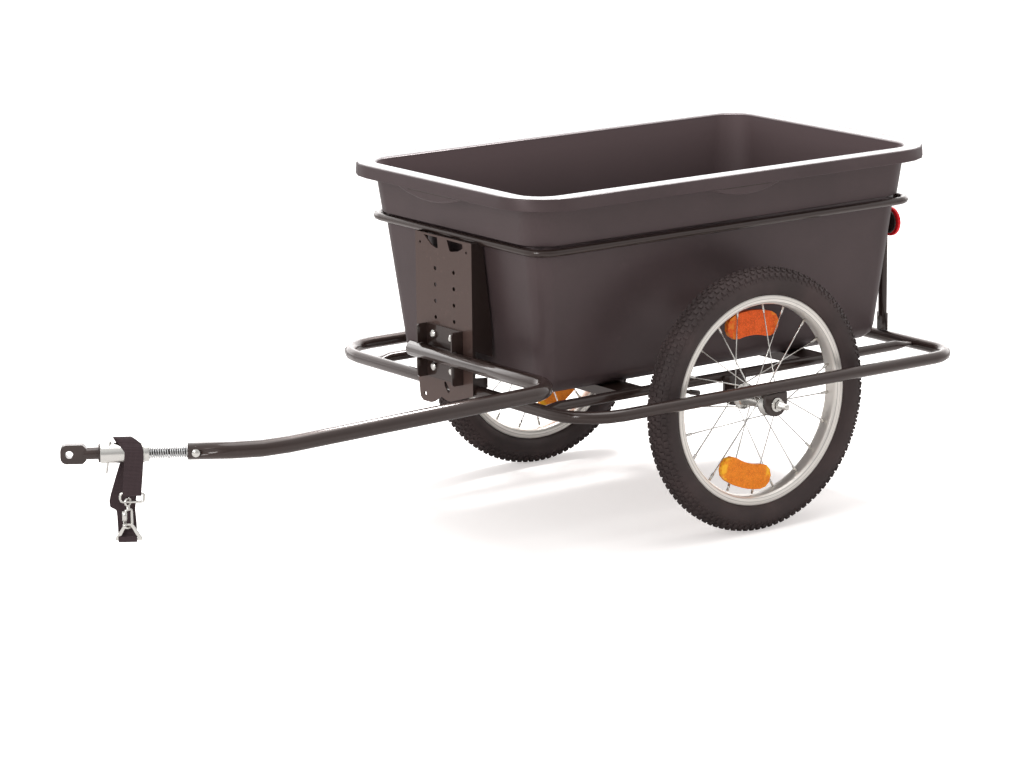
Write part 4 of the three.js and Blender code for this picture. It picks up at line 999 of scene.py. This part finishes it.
def strap():
    """The webbing with rounded bends and edges, and the threads that close its lower loop."""
    piece = dressed("safety_strap", smooth=STRAP_SMOOTH, weighted=False)
    alone(piece)

    def soften():
        bpy.ops.mesh.dissolve_limited(angle_limit=math.radians(STRAP_FLAT_ANGLE))
        face, shape = (math.radians(angle) for angle in STRAP_QUAD_ANGLES)
        bpy.ops.mesh.tris_convert_to_quads(face_threshold=face, shape_threshold=shape)
        bpy.ops.mesh.select_all(action="DESELECT")
        bpy.ops.mesh.edges_select_sharp(sharpness=math.radians(STRAP_CREASE_ANGLE))
        bpy.ops.transform.edge_crease(value=STRAP_CREASE)

    in_edit(soften)
    rounds = piece.modifiers.new("rounds", "SUBSURF")
    rounds.levels = STRAP_ROUNDS
    rounds.render_levels = STRAP_ROUNDS
    apply_modifiers(piece)
    bpy.ops.object.shade_smooth_by_angle(angle=math.radians(STRAP_SMOOTH))
    stitches(piece)


def stitches(webbing):
    """Rows of thread across the near leg, laid on its face by casting rays at it."""
    _, along, side = coupling_place()
    low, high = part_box("strap_ring")
    middle = (low + high) / 2
    threads = []
    for row, lift in enumerate(STITCH_ROWS):
        for place in range(-STITCHES_EACH_SIDE, STITCHES_EACH_SIDE + 1):
            shift = (place + 0.5 * (row % 2)) * STITCH_PITCH
            start = Vector((middle.x, 0, high.z + lift * MM)) + along * shift
            start += side * RAY_START
            start.y += middle.y
            hit, spot, normal, _ = webbing.ray_cast(start, -side)
            if not hit:
                continue
            bpy.ops.object.select_all(action="DESELECT")
            bpy.ops.mesh.primitive_uv_sphere_add(segments=8, ring_count=6, radius=1)
            thread = bpy.context.active_object
            basis = Matrix((along, normal, along.cross(normal))).transposed().to_4x4()
            size = Matrix.Diagonal((*THREAD_SIZE, 1))
            thread.data.transform(Matrix.Translation(spot) @ basis @ size)
            threads.append(thread)
    if threads:
        finished(joined(threads), "strap_stitches", "safety_strap")


# Stage
# The photograph's viewpoint: degrees, image widths, and metres from the wheel axle
VIEW_ANGLES = (142.93, 12.79, -0.48)
VIEW_FOCAL_SHARE = 3991.12 / 1024
VIEW_SHIFT = (-0.04255, 0.00284)
VIEW_PLACE = (3.71645, 4.69974, 1.53841)
SENSOR_WIDTH = 36.0

# The key light's way, to the camera's right, towards the camera and up, and its degrees
KEY_FALL = (-0.10, 0.12, -1)
KEY_SPREAD = 50
# Softboxes: their place, in metres the same three ways, their target and their size
TOP_SOFTBOX = ((0.5, -1.2, 2.1), (0, 0, 0.3), 0.55)
FRONT_SOFTBOX = ((-1.6, 2.4, 1.5), (0.1, 0, 0.3), 1.2)

# The mirrored studio: how its rear half rises, and where the low band behind fades
REAR_RISE = 0.55
REAR_FADE = (-0.7, 0.75)
BAND_HEIGHT = (0.02, 0.10, 0.40, 0.62)
BAND_WIDTH = (0.45, 0.75)

FLOOR_SIZE = 120
FLOOR_DROP = 0.5 * MM
FLOOR_MIRROR_SHARE = 0.60


def hung(light, place, direction):
    """Puts a light into the scene, shining one way."""
    holder = bpy.data.objects.new(light.name, light)
    bpy.context.scene.collection.objects.link(holder)
    holder.location = place
    holder.rotation_mode = "QUATERNION"
    holder.rotation_quaternion = direction.to_track_quat("-Z", "Y")


def make_key_light(power):
    """A wide sun, for soft shadows under the trailer."""
    light = bpy.data.lights.new("key_light", "SUN")
    light.energy = power
    light.angle = math.radians(KEY_SPREAD)
    hung(light, (0, 0, 0), seen_from_camera(*KEY_FALL))


def make_softbox(name, place, target, size, power):
    """A round softbox, placed as the camera sees the trailer."""
    light = bpy.data.lights.new(name, "AREA")
    light.shape = "DISK"
    light.size = size
    light.energy = power
    place = seen_from_camera(*place)
    hung(light, place, Vector(target) - place)


def camera_basis():
    """The camera's right, up and back, from its azimuth, elevation and roll."""
    azimuth, elevation, roll = (math.radians(angle) for angle in VIEW_ANGLES)
    back = Vector((
        math.sin(azimuth) * math.cos(elevation), -math.cos(azimuth) * math.cos(elevation),
        math.sin(elevation),
    ))
    right = UP.cross(back).normalized()
    up = back.cross(right)
    turn = Matrix.Rotation(roll, 3, back)
    return turn @ right, turn @ up, back


def seen_from_camera(rightward, nearer, upward):
    """A direction from its shares to the camera's right, towards the camera and up."""
    right, _, back = camera_basis()
    level_back = Vector((back.x, back.y, 0)).normalized()
    return right * rightward + level_back * nearer + UP * upward


def make_camera():
    """The photograph's camera, placed from the wheel axle."""
    data = bpy.data.cameras.new("photo_camera")
    data.sensor_width = SENSOR_WIDTH
    data.lens = VIEW_FOCAL_SHARE * SENSOR_WIDTH
    data.shift_x, data.shift_y = VIEW_SHIFT
    camera = bpy.data.objects.new("photo_camera", data)
    bpy.context.scene.collection.objects.link(camera)
    basis = Matrix(camera_basis()).transposed().to_4x4()
    axle = wheel_place("left")[0].x
    x, y, z = VIEW_PLACE
    camera.matrix_world = Matrix.Translation((x + axle, y, z)) @ basis
    bpy.context.scene.camera = camera


def make_world():
    """White for the camera, brighter behind and above than in front for reflections."""
    stage = bpy.context.scene.trailer_stage
    world = bpy.data.worlds.new("studio")
    world.use_nodes = True
    bpy.context.scene.world = world
    studio = Finish.of_tree(world.node_tree, "Generated")
    _, _, back = camera_basis()
    behind = studio.along((-back.x, -back.y, REAR_RISE))
    wide = studio.step(behind, *REAR_FADE, stage.front_glow, stage.back_glow)
    _, _, height = studio.axes()
    low = studio.between(height, *BAND_HEIGHT)
    band = studio.step(studio.along((-back.x, -back.y, 0)), *BAND_WIDTH) * low
    mirrored = wide + band * stage.band_glow
    path = studio.node("ShaderNodeLightPath")
    glossy = Field(studio, path.outputs["Is Glossy Ray"])
    seen = studio.math(
        "MAXIMUM", Field(studio, path.outputs["Is Camera Ray"]),
        Field(studio, path.outputs["Is Transmission Ray"]),
    )
    unseen = mirrored * glossy + (1 - glossy) * stage.ambient
    background = studio.tree.nodes["Background"]
    background.inputs["Color"].default_value = (1, 1, 1, 1)
    studio.feed(background.inputs["Strength"], unseen * (1 - seen) + seen)


def make_floor():
    """Pale paper, darker in reflections, lifted by a glow that only the camera sees."""
    stage = bpy.context.scene.trailer_stage
    bpy.ops.object.select_all(action="DESELECT")
    bpy.ops.mesh.primitive_plane_add(size=FLOOR_SIZE, location=(0, 0, -FLOOR_DROP))
    floor = bpy.context.active_object
    floor.name = "studio_floor"
    bpy.ops.object.transform_apply(location=True, rotation=True, scale=True)
    finish = Finish("studio_floor_paper")
    cloud = finish.noise(scale=1.5, detail=2.0)
    shade = finish.mix(cloud, tone(stage.floor), tone(stage.floor, 0.99))
    path = finish.node("ShaderNodeLightPath")
    seen = Field(finish, path.outputs["Is Camera Ray"])
    mirrored = finish.mix(
        Field(finish, path.outputs["Is Glossy Ray"]), shade,
        tone(stage.floor, FLOOR_MIRROR_SHARE),
    )
    floor.data.materials.append(finish.complete({
        "Base Color": mirrored, "Roughness": 0.9, "Specular IOR Level": 0.0,
        "Emission Color": finish.mix(seen, (0, 0, 0, 1), tone(stage.glow)),
        "Emission Strength": 1.0,
    }))


# Operators
# Share of the amber's green in the reflectors inside and outside the spokes
AMBER_SHARES = (("reflector_in", 0.58), ("reflector_out", 1.2))


class StageOperator(bpy.types.Operator):
    """Add the pale floor, the soft lights and the photograph's camera"""

    bl_idname = "trailer.stage"
    bl_label = "Studio Stage"

    def execute(self, context):
        stage = context.scene.trailer_stage
        context.scene.view_settings.view_transform = "Standard"
        make_camera()
        make_world()
        make_floor()
        make_key_light(stage.key_light)
        make_softbox("top_softbox", *TOP_SOFTBOX, stage.top_light)
        make_softbox("front_softbox", *FRONT_SOFTBOX, stage.front_light)
        return {"FINISHED"}


class TubOperator(bpy.types.Operator):
    """Dress the plastic tub and edge its finger grips"""

    bl_idname = "trailer.tub"
    bl_label = "Tub"

    def execute(self, context):
        dressed("tub", bevel=sizes().tub_edge, smooth=35)
        grip_lips()
        return {"FINISHED"}


class FrameOperator(bpy.types.Operator):
    """Dress the tubes, plates and posts of the frame"""

    bl_idname = "trailer.frame"
    bl_label = "Frame"

    def execute(self, context):
        for node in ("outer_frame", "upper_ring", "drawbar"):
            dressed(node, smooth=50, weighted=False)
        for node in ("front_cross_member", "rear_cross_member", "drawbar_bracket"):
            dressed(node, bevel=sizes().bevel)
        dressed("front_plate", bevel=sizes().fold, finish=finish_of("plate_paint"))
        for side in SIDES:
            dressed(f"{side}_inner_rail", smooth=50)
            dressed(f"{side}_rear_post", smooth=50)
            for part in ("dropout_outer", "dropout_inner"):
                dressed(f"{side}_{part}", bevel=sizes().bevel)
        return {"FINISHED"}


class TyreOperator(bpy.types.Operator):
    """Model both tyres with their tread blocks"""

    bl_idname = "trailer.tyres"
    bl_label = "Tyres"

    def execute(self, context):
        for side in SIDES:
            tyre(side)
        return {"FINISHED"}


class RimOperator(bpy.types.Operator):
    """Turn both rims"""

    bl_idname = "trailer.rims"
    bl_label = "Rims"

    def execute(self, context):
        for side in SIDES:
            rim(side)
        return {"FINISHED"}


class HubOperator(bpy.types.Operator):
    """Dress hubs, spokes, bearings, valves, axles and nuts"""

    bl_idname = "trailer.hubs"
    bl_label = "Hubs and Spokes"

    def execute(self, context):
        for side in SIDES:
            for part in ("hub_spokes", "bearing_in", "bearing_out", "valve", "axle"):
                dressed(f"{side}_{part}", smooth=50, weighted=False)
            for part in ("nut_in", "nut_out"):
                dressed(f"{side}_{part}", bevel=sizes().hardware_edge, smooth=30)
        return {"FINISHED"}


class ReflectorOperator(bpy.types.Operator):
    """Dress the amber wheel reflectors and the red rear reflectors"""

    bl_idname = "trailer.reflectors"
    bl_label = "Reflectors"

    def execute(self, context):
        red, green, blue = colours().amber
        for side in SIDES:
            for part, share in AMBER_SHARES:
                node = f"{side}_{part}"
                low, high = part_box(node)
                deep = (red * min(1, share + 0.25), green * share, blue)
                pale = (deep[0], min(1, deep[1] * 2.0), deep[2] * 1.5)
                lens = lens_finish(
                    f"amber_prism_{node}", deep, pale, (low + high) / 2, (high - low).length / 2,
                )
                dressed(node, bevel=sizes().wheel_lens_edge, finish=lens)
            for part in ("rear_reflector_base", "rear_reflector_lens"):
                dressed(f"{side}_{part}", bevel=sizes().rear_lens_edge)
        return {"FINISHED"}


class CouplingOperator(bpy.types.Operator):
    """Wind the coupling spring and dress the coupling"""

    bl_idname = "trailer.coupling"
    bl_label = "Coupling"

    def execute(self, context):
        half = sizes().spring_length / 2
        springs = [
            spring_half("coupling_spring_rear", True, -half),
            spring_half("coupling_spring_front", False, 0),
        ]
        cores = [
            core_half("spring_core_rear", -half, CORE_OVERLAP),
            core_half("spring_core_front", -CORE_OVERLAP, half),
        ]
        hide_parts("coupling_spring")
        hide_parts("spring_core")
        for node in ("coupling_socket", "coupling_washer", "drawbar_plug"):
            dressed(node, bevel=sizes().hardware_edge, smooth=35)
        dressed("coupling_eye", bevel=sizes().eye_edge, smooth=35)
        for node in ("coupling_cross_bolt", "locking_pin"):
            dressed(node, smooth=35)
        return {"FINISHED"}


class FastenerOperator(bpy.types.Operator):
    """Dress the bolts of the drawbar bracket"""

    bl_idname = "trailer.fasteners"
    bl_label = "Bracket Bolts"

    def execute(self, context):
        for number in range(1, 5):
            dressed(f"bracket_bolt_{number}", bevel=sizes().bolt_edge, smooth=30)
        return {"FINISHED"}


class StrapOperator(bpy.types.Operator):
    """Dress the safety strap with its ring, snap hook and buckle"""

    bl_idname = "trailer.strap"
    bl_label = "Safety Strap"

    def execute(self, context):
        strap()
        for node in ("strap_ring", "snap_hook", "snap_gate"):
            dressed(node, smooth=55, weighted=False)
        dressed("strap_buckle", bevel=sizes().bevel, smooth=35)
        return {"FINISHED"}


class TrailerPanel(bpy.types.Panel):
    """Lists the sizes, colours and steps of the trailer"""

    bl_idname = "VIEW3D_PT_trailer"
    bl_label = "Cargo Trailer"
    bl_space_type = "VIEW_3D"
    bl_region_type = "UI"
    bl_category = "Trailer"

    def draw(self, context):
        for group in (sizes(), colours(), context.scene.trailer_stage):
            box = self.layout.box()
            for name in group.bl_rna.properties.keys():
                if name not in ("rna_type", "name"):
                    box.prop(group, name)
        for step in STEPS:
            self.layout.operator(step.bl_idname)


STEPS = (
    StageOperator, TubOperator, FrameOperator, TyreOperator, RimOperator, HubOperator,
    ReflectorOperator, CouplingOperator, FastenerOperator, StrapOperator,
)
GROUPS = (
    ("trailer_sizes", TrailerSizes), ("trailer_colours", TrailerColours),
    ("trailer_stage", TrailerStage),
)


def register():
    for name, group in GROUPS:
        bpy.utils.register_class(group)
        setattr(bpy.types.Scene, name, PointerProperty(type=group))
    for step in (*STEPS, TrailerPanel):
        bpy.utils.register_class(step)


def unregister():
    for step in (TrailerPanel, *reversed(STEPS)):
        bpy.utils.unregister_class(step)
    for name, group in reversed(GROUPS):
        delattr(bpy.types.Scene, name)
        bpy.utils.unregister_class(group)


def main():
    register()
    for step in STEPS:
        group, name = step.bl_idname.split(".")
        getattr(getattr(bpy.ops, group), name)()


if __name__ == "__main__":
    main()
